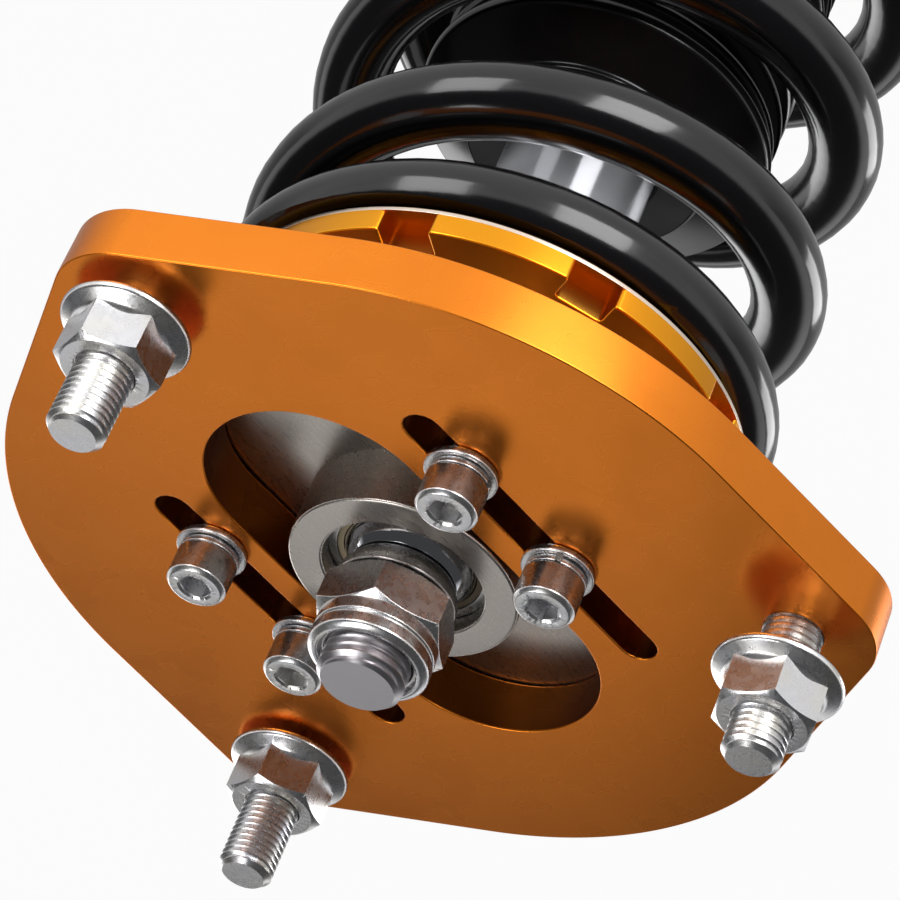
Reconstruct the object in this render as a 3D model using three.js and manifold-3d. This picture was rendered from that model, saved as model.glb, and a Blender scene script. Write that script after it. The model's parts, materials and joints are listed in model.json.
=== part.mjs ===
// Front strut coilover: slotted camber plate, spherical top bearing, castellated spring seat,
// coil spring, dust boot and a monotube damper on a threaded body with a knuckle bracket.
// Millimetres. The origin is the middle of the camber plate's top face, on the strut's axis.
// +Z points to the car's body and X is the way the bearing carrier slides to set the camber.
import * as THREE from 'three';
import { mergeVertices } from 'three/addons/utils/BufferGeometryUtils.js';
import Module from 'manifold-3d';

// Clearances
const GAP = 0.3; // between separate pieces
const STACK_GAP = 0.1; // between the flat faces of a screw's washers
const SLOT_CLEARANCE = 0.2; // round a screw in its slot
const OVERCUT = 1; // how far a cutting piece runs past the face it cuts

// Facets of round pieces
const SIDES = { small: 12, medium: 20, large: 32 };
const SPHERE_STEPS = 5;

// Camber plate
const PLATE_RADIUS = 57;
const PLATE_THICKNESS = 8;
const LOBE_RADIUS = 11;
const STUD_INSET = 3; // stud circle inside the plate's round edge
const STUD_ANGLES = [180, 60, -60]; // degrees
const WINDOW_RADIUS = 16.5; // round ends of the window that the carrier's boss slides in
const WINDOW_END_OFFSET = 17;
const SLOT_END_OFFSET = 22.5;
const SLOT_ROW_OFFSET = 23.6; // from the middle of the plate to each row of screws

// Studs and their flange nuts
const STUD_RADIUS = 4;
const STUD_LENGTH = 20.8; // above the plate
const STUD_HEAD_ACROSS_FLATS = 13;
const STUD_HEAD_HEIGHT = 2.4;
const NUT_FLANGE_RADIUS = 8.9;
const NUT_FLANGE_HEIGHT = 1.6;
const NUT_ACROSS_FLATS = 12.6;
const NUT_HEIGHT = 8;
const NUT_LIFTS = [2.2, 6.8, 1]; // how far each flange stands off the plate

// Clamp screws of the carrier
const SCREW_RADIUS = 2.5;
const SCREW_SPACING = 20;
const SCREW_PATTERN_OFFSET = -4.3; // along X, from the strut's axis
const SCREW_HEAD_RADIUS = 4.25;
const SCREW_HEAD_HEIGHT = 5;
const SCREW_SOCKET_ACROSS_FLATS = 4;
const SCREW_SOCKET_DEPTH = 2.5;
const WASHER_RADIUS = 5;
const WASHER_THICKNESS = 1;
const SPRING_WASHER_WIDTH = 1.6;
const SPRING_WASHER_THICKNESS = 1;
const SPRING_WASHER_SPLIT = 0.8;

// Bearing carrier
const CARRIER_THICKNESS = 6;
const CARRIER_LAP = 4.5; // past the window's ends
const CARRIER_MARGIN = 6.4; // outside each row of screws
const CARRIER_CORNER_RADIUS = 8;
const BOSS_PROUD = 0.5; // above the plate
const BOSS_WALL = 1.5;
const BOSS_LIP_THICKNESS = 2.7;
const BOSS_LIP_WIDTH = 3.3;
const RING_LAND = 1; // carrier left below the retaining ring's groove

// Spherical bearing
const RACE_HALF_WIDTH = 4.5;
const BALL_RADIUS = 10.2;
const BALL_WIDTH = 14;
const LINER_THICKNESS = 0.6;
const RING_THICKNESS = 1.2;
const RING_WIDTH = 3.2;
const RING_BITE = 0.8; // how far the ring reaches into the carrier
const RING_OPENING = 44; // degrees

// Rod's upper stub and what is stacked on it
const STUB_RADIUS = 6;
const STUB_CHAMFER = 0.8;
const STUB_PROUD = 3.6; // above the lock nut
const SPACER_RADIUS = 9.06;
const SPACER_FOOT_RADIUS = 7.4;
const UPPER_SPACER_HEIGHT = 3.4;
const LOWER_SPACER_HEIGHT = 12.4;
const LOCK_NUT_ACROSS_FLATS = 17;
const LOCK_NUT_HEX_HEIGHT = 6.5;
const LOCK_NUT_COLLAR_RADIUS = 8.4;
const LOCK_NUT_HEIGHT = 11;
const LOCK_NUT_LIP_RADIUS = 6.9;
const LOCK_NUT_ROUNDING = 0.8;
const LOCK_NUT_CROWN_WALL = 1;
const INSERT_HEIGHT = 2;

// Upper spring seat
const SEAT_RADIUS = 38.5;
const SEAT_NOTCHED_HEIGHT = 3.4;
const SEAT_FLANGE_HEIGHT = 1.6;
const SEAT_CHAMFER = 1; // round the flange's lower edge
const SEAT_NOTCHES = 9;
const SEAT_NOTCH_ANGLE = 152.5; // degrees, the middle of one notch
const SEAT_NOTCH_WIDTH = 7;
const SEAT_NOTCH_DEPTH = 4.7;
const SEAT_HUB_RADIUS = 16;
const SEAT_HUB_HEIGHT = 7;
const PILOT_WALL = 3;
const PILOT_HEIGHT = 6; // past the spring's end
const PILOT_CLEARANCE = 0.7;

// Coil spring
const WIRE_RADIUS = 5.4;
const COIL_RADIUS = 35.4;
const COIL_TURNS = 7;
const COIL_PITCH = 30.5;
const CLOSED_PITCH = 9;
const CLOSED_TURNS = 0.58;
const OPENED_TURNS = 1.13; // where the full pitch is reached
const COIL_TIP_ANGLE = 265; // degrees
const TIP_GRIND = 0.5; // wire's middle below the ground face, at the tip
const CURL_STEPS = 8;
const WIRE_SIDES = 5;
const COIL_LEAST_GAP = 0.4;

// Piston rod and bump stop
const ROD_RADIUS = 11;
const ROD_STUB_RADIUS = 6;
const STROKE = 70;
const REBOUND_CLEARANCE = 8;
const BUMP_STOP_RADIUS = 16;
const BUMP_STOP_HEIGHT = 19;
const BUMP_STOP_BEADS = 3;
const BUMP_STOP_GROOVE = 2;
const BUMP_STOP_SLOPE = 0.3; // share of a bead that slopes at each end

// Dust boot
const BOOT_DROP = 52.5; // spring seat's top to boot's top
const BOOT_WALL = 1.2;
const BOOT_NECK_RADIUS = 18;
const BOOT_NECK_HEIGHT = 1;
const BOOT_COLLAR_RADIUS = 26.4;
const BOOT_SHOULDER_HEIGHT = 3.7;
const BOOT_COLLAR_HEIGHT = 2.2;
const BOOT_PLEAT_RADIUS = 25.8;
const BOOT_VALLEY_RADIUS = 22.8;
const BOOT_PLEAT_PITCH = 4.5;
const BOOT_VALLEY_PHASE = 0.1; // pleats between the collar and its first valley
const BOOT_SIDES = 8;
const BOOT_RINGS_BORE = 5; // ribs for each ring of the bore
const CUFF_HEIGHT = 6;

// Damper body
const TUBE_RADIUS = 25;
const TUBE_WALL = 2;
const GLAND_FLANGE_HEIGHT = 5;
const GLAND_NECK_RADIUS = 18;
const GLAND_NECK_HEIGHT = 9;
const GLAND_DEPTH = 9;
const SEAL_HEIGHT = 4;
const GUIDE_HEIGHT = 12;
const PISTON_HEIGHT = 15;
const BAND_HEIGHT = 8;
const BAND_THICKNESS = 1;
const SHIM_COUNT = 3;
const SHIM_THICKNESS = 0.6;
const SHIM_INSET = 5; // widest shim inside the tube's bore
const SHIM_STEP = 2.5;
const PISTON_NUT_ACROSS_FLATS = 19;
const PISTON_NUT_HEIGHT = 9;
const ROD_TAIL = 1; // rod past its piston nut
const FLOAT_CLEARANCE = 8;
const FLOAT_HEIGHT = 14;
const FLOAT_SEAL_HEIGHT = 4;
const FLOAT_SEAL_DEPTH = 2.4;
const GAS_LENGTH = 22;
const PLUG_HEIGHT = 10;

// Lower perch and its lock ring
const PERCH_WASHER_THICKNESS = 2.5;
const PERCH_MARGIN = 0.2; // past the coil
const PERCH_FLANGE_HEIGHT = 4;
const PERCH_HEIGHT = 14;
const COLLAR_WALL = 10.7;
const COLLAR_HEIGHT = 8;
const COLLAR_NOTCHES = 8;
const COLLAR_NOTCH_WIDTH = 7;
const COLLAR_NOTCH_DEPTH = 4.5;

// Knuckle bracket
const BRACKET_TUBE_OVERLAP = 68; // length of damper body inside the bracket
const BRACKET_WALL = 6;
const BRACKET_TAIL = 4; // below the damper body
const EAR_THICKNESS = 6;
const EAR_INNER_OFFSET = 17; // from the strut's axis plane to each ear's inner face
const EAR_REACH = 78;
const EAR_HEIGHT = 88;
const EAR_TOP_DROP = 8; // below the sleeve's top
const EAR_CORNER_RADIUS = 10;
const KNUCKLE_HOLE_RADIUS = 7.2;
const KNUCKLE_HOLE_SPACING = 56;
const KNUCKLE_HOLE_REACH = 62;

// Colours
const FINISH = {
  anodised: { color: 0xd07a2a, roughness: 0.35, metalness: 1 },
  zinc: { color: 0xc8c8cc, roughness: 0.25, metalness: 1 },
  steel: { color: 0xa8a6a0, roughness: 0.35, metalness: 1 },
  chrome: { color: 0xe0e0e4, roughness: 0.08, metalness: 1 },
  black: { color: 0x17171a, roughness: 0.25, metalness: 0 },
  rubber: { color: 0x101012, roughness: 0.4, metalness: 0 },
  liner: { color: 0x6b5a3c, roughness: 0.6, metalness: 0 },
  foam: { color: 0xd9c27a, roughness: 0.7, metalness: 0 },
  nylon: { color: 0x3d6fb0, roughness: 0.5, metalness: 0 },
};

// Radii that follow from other sizes
const STUD_CIRCLE_RADIUS = PLATE_RADIUS - STUD_INSET;
const TUBE_BORE_RADIUS = TUBE_RADIUS - TUBE_WALL;
const SHIM_RADIUS = TUBE_BORE_RADIUS - SHIM_INSET;
const COLLAR_BORE_RADIUS = TUBE_RADIUS + GAP;
const COLLAR_RADIUS = COLLAR_BORE_RADIUS + COLLAR_WALL;
const PERCH_RADIUS = COIL_RADIUS + WIRE_RADIUS + PERCH_MARGIN;

// Heights, from the top down
const BOSS_RADIUS = WINDOW_RADIUS - GAP;
const RACE_RADIUS = BOSS_RADIUS - BOSS_WALL - GAP;
const RACE_TOP = BOSS_PROUD - BOSS_LIP_THICKNESS - GAP;
const BEARING_Z = RACE_TOP - RACE_HALF_WIDTH;
const RING_TOP = BEARING_Z - RACE_HALF_WIDTH - GAP;
const RING_BOTTOM = RING_TOP - RING_THICKNESS;
const CARRIER_TOP = -PLATE_THICKNESS - GAP;
const CARRIER_BOTTOM = Math.min(CARRIER_TOP - CARRIER_THICKNESS, RING_BOTTOM - GAP - RING_LAND);
const BALL_TOP = BEARING_Z + BALL_WIDTH / 2;
const BALL_BOTTOM = BEARING_Z - BALL_WIDTH / 2;
const UPPER_SPACER_TOP = BALL_TOP + GAP + UPPER_SPACER_HEIGHT;
const LOCK_NUT_BOTTOM = UPPER_SPACER_TOP + GAP;
const LOCK_NUT_TOP = LOCK_NUT_BOTTOM + LOCK_NUT_HEIGHT;
const STUB_TOP = LOCK_NUT_TOP + STUB_PROUD;
const LOWER_SPACER_TOP = BALL_BOTTOM - GAP;
const SEAT_TOP = LOWER_SPACER_TOP - LOWER_SPACER_HEIGHT - GAP;
const SEAT_NOTCH_FLOOR = SEAT_TOP - SEAT_NOTCHED_HEIGHT;
const SEAT_BOTTOM = SEAT_NOTCH_FLOOR - SEAT_FLANGE_HEIGHT;
const ROD_SHOULDER = SEAT_TOP - SEAT_HUB_HEIGHT - GAP;
const COIL_TOP = SEAT_BOTTOM - GAP;
const BOOT_TOP = SEAT_TOP - BOOT_DROP;
const BUMP_STOP_TOP = BOOT_TOP - BOOT_NECK_HEIGHT - BOOT_WALL - GAP;
const BUMP_STOP_BOTTOM = BUMP_STOP_TOP - BUMP_STOP_HEIGHT;
const GLAND_TOP = BUMP_STOP_BOTTOM - GAP - STROKE;
const GLAND_FLANGE_TOP = GLAND_TOP - GLAND_NECK_HEIGHT;
const TUBE_TOP = GLAND_FLANGE_TOP - GLAND_FLANGE_HEIGHT - GAP;
const GLAND_BOTTOM = TUBE_TOP - GLAND_DEPTH;
const SEAL_TOP = GLAND_BOTTOM - GAP;
const GUIDE_TOP = SEAL_TOP - SEAL_HEIGHT - GAP;
const GUIDE_BOTTOM = GUIDE_TOP - GUIDE_HEIGHT;
const PISTON_SHOULDER = GUIDE_BOTTOM - REBOUND_CLEARANCE;
const SHIM_STACK_HEIGHT = SHIM_COUNT * SHIM_THICKNESS;
const REBOUND_SHIM_TOP = PISTON_SHOULDER - GAP;
const PISTON_TOP = REBOUND_SHIM_TOP - SHIM_STACK_HEIGHT - GAP;
const PISTON_BOTTOM = PISTON_TOP - PISTON_HEIGHT;
const COMPRESSION_SHIM_TOP = PISTON_BOTTOM - GAP;
const PISTON_NUT_TOP = COMPRESSION_SHIM_TOP - SHIM_STACK_HEIGHT - GAP;
const PISTON_NUT_BOTTOM = PISTON_NUT_TOP - PISTON_NUT_HEIGHT;
const ROD_BOTTOM = PISTON_NUT_BOTTOM - ROD_TAIL;
const FLOAT_TOP = ROD_BOTTOM - STROKE - FLOAT_CLEARANCE;
const FLOAT_BOTTOM = FLOAT_TOP - FLOAT_HEIGHT;
const FLOAT_TRAVEL = STROKE * (ROD_RADIUS / TUBE_BORE_RADIUS) ** 2;
const PLUG_TOP = FLOAT_BOTTOM - FLOAT_TRAVEL - GAS_LENGTH;
const TUBE_BOTTOM = PLUG_TOP - PLUG_HEIGHT;
const BRACKET_TOP = TUBE_BOTTOM + BRACKET_TUBE_OVERLAP;
const BRACKET_BOTTOM = TUBE_BOTTOM - BRACKET_TAIL;

const wasm = await Module();
wasm.setup();

// A closed geometry as a manifold solid: shared corners merged, empty triangles dropped.
function solidOf(geometry) {
  const bare = geometry.clone();
  bare.deleteAttribute('normal');
  bare.deleteAttribute('uv');
  const merged = mergeVertices(bare, 1e-4);
  const corners = merged.index.array;
  const triangles = [];
  for (let i = 0; i < corners.length; i += 3) {
    const [a, b, c] = corners.slice(i, i + 3);
    if (a !== b && b !== c && c !== a) triangles.push(a, b, c);
  }
  const mesh = new wasm.Mesh({
    numProp: 3,
    vertProperties: new Float32Array(merged.attributes.position.array),
    triVerts: new Uint32Array(triangles),
  });
  return new wasm.Manifold(mesh);
}

function geometryOf(solid) {
  const { vertProperties, triVerts } = solid.getMesh();
  const geometry = new THREE.BufferGeometry();
  geometry.setAttribute('position', new THREE.BufferAttribute(vertProperties, 3));
  geometry.setIndex(new THREE.BufferAttribute(triVerts, 1));
  geometry.computeVertexNormals();
  return geometry;
}

// A turned piece about Z. The profile is [radius, height] pairs; it closes on itself,
// or it starts and ends on the axis.
function turned(profile, sides = SIDES.medium) {
  const points = profile.map(([radius, height]) => new THREE.Vector2(radius, height));
  if (THREE.ShapeUtils.area(points) < 0) points.reverse();
  if (points[0].x > 0) points.push(points[0].clone());
  return solidOf(new THREE.LatheGeometry(points, sides).rotateX(Math.PI / 2));
}

// A ring with a rectangular section.
function ring(inner, outer, bottom, top, sides = SIDES.medium) {
  return turned([[inner, bottom], [outer, bottom], [outer, top], [inner, top]], sides);
}

// An arc in the shape gets twice as many steps as its curve segments.
function prism(shape, bottom, height, curveSegments = 6) {
  const geometry = new THREE.ExtrudeGeometry(shape, { depth: height, bevelEnabled: false, curveSegments });
  return solidOf(geometry.translate(0, 0, bottom));
}

function hexagon(acrossFlats, bottom, height) {
  const radius = acrossFlats / 2 / Math.cos(Math.PI / 6);
  const geometry = new THREE.CylinderGeometry(radius, radius, height, 6).rotateX(Math.PI / 2);
  return solidOf(geometry.translate(0, 0, bottom + height / 2));
}

// A box between two corners.
function block(low, high) {
  const size = high.map((value, axis) => value - low[axis]);
  const geometry = new THREE.BoxGeometry(...size);
  return solidOf(geometry.translate(...low.map((value, axis) => value + size[axis] / 2)));
}

function radians(degrees) {
  return THREE.MathUtils.degToRad(degrees);
}

// A long hole with round ends, along X.
function slotPath(x, y, endOffset, radius) {
  const path = new THREE.Path();
  path.absarc(x + endOffset, y, radius, -Math.PI / 2, Math.PI / 2, false);
  path.absarc(x - endOffset, y, radius, Math.PI / 2, 1.5 * Math.PI, false);
  path.closePath();
  return path;
}

function roundPath(x, y, radius) {
  const path = new THREE.Path();
  path.absarc(x, y, radius, 0, 2 * Math.PI, false);
  return path;
}

function roundedRectangle(left, right, bottom, top, radius) {
  const shape = new THREE.Shape();
  shape.absarc(right - radius, top - radius, radius, 0, Math.PI / 2, false);
  shape.absarc(left + radius, top - radius, radius, Math.PI / 2, Math.PI, false);
  shape.absarc(left + radius, bottom + radius, radius, Math.PI, 1.5 * Math.PI, false);
  shape.absarc(right - radius, bottom + radius, radius, 1.5 * Math.PI, 2 * Math.PI, false);
  shape.closePath();
  return shape;
}

// Cuts a ring of notches, open outwards, through a disc's rim.
function notched(solid, { count, firstAngle, width }, [inner, outer], [bottom, top]) {
  let result = solid;
  for (let i = 0; i < count; i += 1) {
    const cutter = block([inner, -width / 2, bottom], [outer, width / 2, top]);
    result = result.subtract(cutter.rotate([0, 0, firstAngle + (i * 360) / count]));
  }
  return result;
}

function studPosition(angle) {
  const turn = radians(angle);
  return [STUD_CIRCLE_RADIUS * Math.cos(turn), STUD_CIRCLE_RADIUS * Math.sin(turn)];
}

const assembly = new THREE.Group();
assembly.name = 'coilover';

function add(name, solid, finish, parent = assembly) {
  const mesh = new THREE.Mesh(geometryOf(solid), new THREE.MeshStandardMaterial(FINISH[finish]));
  mesh.name = name;
  parent.add(mesh);
  return mesh;
}

// --- Camber plate and its studs ---

// A disc grown by a round lobe at each stud, joined by straight tangents.
function camberPlate() {
  const spread = Math.acos((PLATE_RADIUS - LOBE_RADIUS) / STUD_CIRCLE_RADIUS);
  const shape = new THREE.Shape();
  const turns = STUD_ANGLES.map(radians).sort((a, b) => a - b);
  turns.forEach((turn, i) => {
    const next = i + 1 < turns.length ? turns[i + 1] : turns[0] + 2 * Math.PI;
    const x = STUD_CIRCLE_RADIUS * Math.cos(turn);
    const y = STUD_CIRCLE_RADIUS * Math.sin(turn);
    shape.absarc(x, y, LOBE_RADIUS, turn - spread, turn + spread, false);
    shape.absarc(0, 0, PLATE_RADIUS, turn + spread, next - spread, false);
  });
  shape.closePath();
  shape.holes.push(slotPath(0, 0, WINDOW_END_OFFSET, WINDOW_RADIUS));
  for (const side of [1, -1]) {
    shape.holes.push(slotPath(0, side * SLOT_ROW_OFFSET, SLOT_END_OFFSET, SCREW_RADIUS + SLOT_CLEARANCE));
  }
  for (const angle of STUD_ANGLES) {
    shape.holes.push(roundPath(...studPosition(angle), STUD_RADIUS + GAP));
  }
  return prism(shape, -PLATE_THICKNESS, PLATE_THICKNESS);
}

function stud() {
  const headTop = -PLATE_THICKNESS - GAP;
  const shank = turned([
    [0, headTop - STUD_HEAD_HEIGHT / 2],
    [STUD_RADIUS, headTop - STUD_HEAD_HEIGHT / 2],
    [STUD_RADIUS, STUD_LENGTH - STUB_CHAMFER],
    [STUD_RADIUS - STUB_CHAMFER, STUD_LENGTH],
    [0, STUD_LENGTH],
  ], SIDES.small);
  return shank.add(hexagon(STUD_HEAD_ACROSS_FLATS, headTop - STUD_HEAD_HEIGHT, STUD_HEAD_HEIGHT));
}

function flangeNut(lift) {
  const flangeTop = lift + NUT_FLANGE_HEIGHT;
  const flange = turned([
    [0, lift],
    [NUT_FLANGE_RADIUS, lift],
    [NUT_FLANGE_RADIUS, lift + NUT_FLANGE_HEIGHT / 2],
    [NUT_ACROSS_FLATS / 2, flangeTop],
    [0, flangeTop],
  ], SIDES.medium);
  const hex = hexagon(NUT_ACROSS_FLATS, lift + NUT_FLANGE_HEIGHT / 2, NUT_HEIGHT - NUT_FLANGE_HEIGHT / 2);
  const bore = ring(0, STUD_RADIUS + GAP, lift - OVERCUT, lift + NUT_HEIGHT + OVERCUT, SIDES.small);
  return flange.add(hex).subtract(bore);
}

function addStuds() {
  STUD_ANGLES.forEach((angle, i) => {
    const place = new THREE.Group();
    place.position.set(...studPosition(angle), 0);
    assembly.add(place);
    add(`stud_${i + 1}`, stud(), 'zinc', place);
    add(`stud_nut_${i + 1}`, flangeNut(NUT_LIFTS[i]), 'zinc', place);
  });
}

// --- Sliding bearing carrier and its clamp screws ---

function screwPositions() {
  const positions = [];
  for (const row of [1, -1]) {
    for (const end of [-1, 1]) {
      positions.push([SCREW_PATTERN_OFFSET + (end * SCREW_SPACING) / 2, row * SLOT_ROW_OFFSET]);
    }
  }
  return positions;
}

// A flat slide with a boss that stands in the plate's window and holds the bearing.
function slideCarrier() {
  const reach = WINDOW_END_OFFSET + WINDOW_RADIUS + CARRIER_LAP;
  const side = SLOT_ROW_OFFSET + CARRIER_MARGIN;
  const shape = roundedRectangle(-reach, reach, -side, side, CARRIER_CORNER_RADIUS);
  for (const [x, y] of screwPositions()) {
    shape.holes.push(roundPath(x, y, SCREW_RADIUS + GAP));
  }
  const slab = prism(shape, CARRIER_BOTTOM, CARRIER_TOP - CARRIER_BOTTOM);
  const boss = ring(0, BOSS_RADIUS, (CARRIER_BOTTOM + CARRIER_TOP) / 2, BOSS_PROUD, SIDES.large);
  const lipRadius = RACE_RADIUS - BOSS_LIP_WIDTH;
  const throughHole = ring(0, lipRadius, CARRIER_BOTTOM - OVERCUT, BOSS_PROUD + OVERCUT, SIDES.large);
  const pocket = ring(0, RACE_RADIUS + GAP, CARRIER_BOTTOM - OVERCUT, RACE_TOP + GAP, SIDES.large);
  const grooveRadius = RACE_RADIUS + RING_BITE + GAP;
  const groove = ring(0, grooveRadius, RING_BOTTOM - GAP, RING_TOP + GAP, SIDES.large);
  return slab.add(boss).subtract(throughHole).subtract(pocket).subtract(groove);
}

function washer() {
  return ring(SCREW_RADIUS + GAP, WASHER_RADIUS, STACK_GAP, STACK_GAP + WASHER_THICKNESS, SIDES.small);
}

function springWasher() {
  const inner = SCREW_RADIUS + GAP;
  const bottom = 2 * STACK_GAP + WASHER_THICKNESS;
  const top = bottom + SPRING_WASHER_THICKNESS;
  const outer = inner + SPRING_WASHER_WIDTH;
  const body = ring(inner, outer, bottom, top, SIDES.small);
  const half = SPRING_WASHER_SPLIT / 2;
  return body.subtract(block([0, -half, bottom - OVERCUT], [outer + OVERCUT, half, top + OVERCUT]));
}

function capScrew() {
  const headBottom = 3 * STACK_GAP + WASHER_THICKNESS + SPRING_WASHER_THICKNESS;
  const headTop = headBottom + SCREW_HEAD_HEIGHT;
  const body = turned([
    [0, CARRIER_BOTTOM],
    [SCREW_RADIUS, CARRIER_BOTTOM],
    [SCREW_RADIUS, headBottom],
    [SCREW_HEAD_RADIUS, headBottom],
    [SCREW_HEAD_RADIUS, headTop],
    [0, headTop],
  ], SIDES.small);
  const depth = SCREW_SOCKET_DEPTH + OVERCUT;
  return body.subtract(hexagon(SCREW_SOCKET_ACROSS_FLATS, headTop - SCREW_SOCKET_DEPTH, depth));
}

function addClampScrews() {
  screwPositions().forEach(([x, y], i) => {
    const place = new THREE.Group();
    place.position.set(x, y, 0);
    assembly.add(place);
    add(`clamp_washer_${i + 1}`, washer(), 'zinc', place);
    add(`spring_washer_${i + 1}`, springWasher(), 'zinc', place);
    add(`clamp_screw_${i + 1}`, capScrew(), 'zinc', place);
  });
}

// --- Spherical bearing ---

// Points of an arc about the bearing's centre, from the lower face to the upper one.
function sphereProfile(radius, halfWidth) {
  const half = Math.asin(Math.min(1, halfWidth / radius));
  const points = [];
  for (let i = 0; i <= SPHERE_STEPS; i += 1) {
    const turn = -half + (2 * half * i) / SPHERE_STEPS;
    points.push([radius * Math.cos(turn), BEARING_Z + radius * Math.sin(turn)]);
  }
  return points;
}

function bearingRace() {
  const hollow = sphereProfile(BALL_RADIUS + LINER_THICKNESS + 2 * GAP, RACE_HALF_WIDTH);
  const top = BEARING_Z + RACE_HALF_WIDTH;
  const bottom = BEARING_Z - RACE_HALF_WIDTH;
  return turned([...hollow, [RACE_RADIUS, top], [RACE_RADIUS, bottom]], SIDES.large);
}

function bearingLiner() {
  const width = RACE_HALF_WIDTH - GAP;
  const inner = sphereProfile(BALL_RADIUS + GAP, width);
  const outer = sphereProfile(BALL_RADIUS + GAP + LINER_THICKNESS, width);
  return turned([...outer, ...inner.reverse()], SIDES.large);
}

function bearingBall() {
  const surface = sphereProfile(BALL_RADIUS, BALL_WIDTH / 2);
  const bore = STUB_RADIUS + GAP;
  return turned([[bore, BALL_BOTTOM], ...surface, [bore, BALL_TOP]], SIDES.medium);
}

function retainingRing() {
  const outer = RACE_RADIUS + RING_BITE;
  const body = ring(outer - RING_WIDTH, outer, RING_BOTTOM, RING_TOP, SIDES.large);
  const half = outer * Math.sin(radians(RING_OPENING / 2));
  const low = [0, -half, RING_BOTTOM - OVERCUT];
  return body.subtract(block(low, [outer + OVERCUT, half, RING_TOP + OVERCUT]));
}

function addBearing() {
  add('bearing_race', bearingRace(), 'steel');
  add('bearing_liner', bearingLiner(), 'liner');
  add('bearing_ball', bearingBall(), 'chrome');
  add('retaining_ring', retainingRing(), 'steel');
}

// --- Pieces clamped on the rod's upper stub ---

function upperSpacer() {
  const bore = STUB_RADIUS + GAP;
  const bottom = BALL_TOP + GAP;
  return turned([
    [bore, bottom],
    [SPACER_FOOT_RADIUS, bottom],
    [SPACER_RADIUS, UPPER_SPACER_TOP - UPPER_SPACER_HEIGHT / 3],
    [SPACER_RADIUS, UPPER_SPACER_TOP],
    [bore, UPPER_SPACER_TOP],
  ]);
}

function lowerSpacer() {
  const bore = STUB_RADIUS + GAP;
  const bottom = LOWER_SPACER_TOP - LOWER_SPACER_HEIGHT;
  return turned([
    [bore, bottom],
    [SPACER_RADIUS, bottom],
    [SPACER_RADIUS, LOWER_SPACER_TOP - LOWER_SPACER_HEIGHT / 3],
    [SPACER_FOOT_RADIUS, LOWER_SPACER_TOP],
    [bore, LOWER_SPACER_TOP],
  ]);
}

function lockNut() {
  const collarStart = LOCK_NUT_BOTTOM + LOCK_NUT_HEX_HEIGHT;
  const hex = hexagon(LOCK_NUT_ACROSS_FLATS, LOCK_NUT_BOTTOM, LOCK_NUT_HEX_HEIGHT);
  const collar = turned([
    [0, LOCK_NUT_BOTTOM],
    [LOCK_NUT_COLLAR_RADIUS, LOCK_NUT_BOTTOM],
    [LOCK_NUT_COLLAR_RADIUS, LOCK_NUT_TOP - LOCK_NUT_ROUNDING],
    [LOCK_NUT_COLLAR_RADIUS - LOCK_NUT_ROUNDING, LOCK_NUT_TOP],
    [0, LOCK_NUT_TOP],
  ]);
  const bore = ring(0, STUB_RADIUS + GAP, LOCK_NUT_BOTTOM - OVERCUT, LOCK_NUT_TOP + OVERCUT);
  const lip = ring(0, LOCK_NUT_LIP_RADIUS, collarStart, LOCK_NUT_TOP + OVERCUT);
  return hex.add(collar).subtract(bore).subtract(lip).subtract(insertSpace());
}

// The groove in the collar that holds the locking insert.
function insertSpace() {
  const bottom = LOCK_NUT_BOTTOM + LOCK_NUT_HEX_HEIGHT;
  const outer = LOCK_NUT_COLLAR_RADIUS - LOCK_NUT_CROWN_WALL;
  return ring(STUB_RADIUS, outer, bottom, bottom + INSERT_HEIGHT + 2 * STACK_GAP);
}

function lockInsert() {
  const bottom = LOCK_NUT_BOTTOM + LOCK_NUT_HEX_HEIGHT + STACK_GAP;
  const outer = LOCK_NUT_COLLAR_RADIUS - LOCK_NUT_CROWN_WALL - STACK_GAP;
  return ring(STUB_RADIUS + GAP, outer, bottom, bottom + INSERT_HEIGHT);
}

// A castellated disc: the notches leave a thin flange whole below them, and a pilot
// under the disc centres the spring.
function springSeat() {
  const bore = STUB_RADIUS + GAP;
  const pilotOuter = COIL_RADIUS - WIRE_RADIUS - PILOT_CLEARANCE;
  const pilotInner = pilotOuter - PILOT_WALL;
  const disc = turned([
    [bore, SEAT_TOP - SEAT_HUB_HEIGHT],
    [SEAT_HUB_RADIUS, SEAT_TOP - SEAT_HUB_HEIGHT],
    [SEAT_HUB_RADIUS, SEAT_BOTTOM],
    [pilotInner, SEAT_BOTTOM],
    [pilotInner, SEAT_BOTTOM - PILOT_HEIGHT],
    [pilotOuter, SEAT_BOTTOM - PILOT_HEIGHT],
    [pilotOuter, SEAT_BOTTOM],
    [SEAT_RADIUS - SEAT_CHAMFER, SEAT_BOTTOM],
    [SEAT_RADIUS, SEAT_BOTTOM + SEAT_CHAMFER],
    [SEAT_RADIUS, SEAT_TOP],
    [bore, SEAT_TOP],
  ], SIDES.large);
  const inner = SEAT_RADIUS - SEAT_NOTCH_DEPTH;
  const notches = { count: SEAT_NOTCHES, firstAngle: SEAT_NOTCH_ANGLE, width: SEAT_NOTCH_WIDTH };
  return notched(disc, notches, [inner, SEAT_RADIUS + OVERCUT], [SEAT_NOTCH_FLOOR, SEAT_TOP + OVERCUT]);
}

function addRodStack() {
  add('upper_spacer', upperSpacer(), 'steel');
  add('lower_spacer', lowerSpacer(), 'steel');
  add('rod_lock_nut', lockNut(), 'zinc');
  add('rod_nut_insert', lockInsert(), 'nylon');
  add('spring_seat', springSeat(), 'anodised');
}

// --- Coil spring ---

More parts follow.
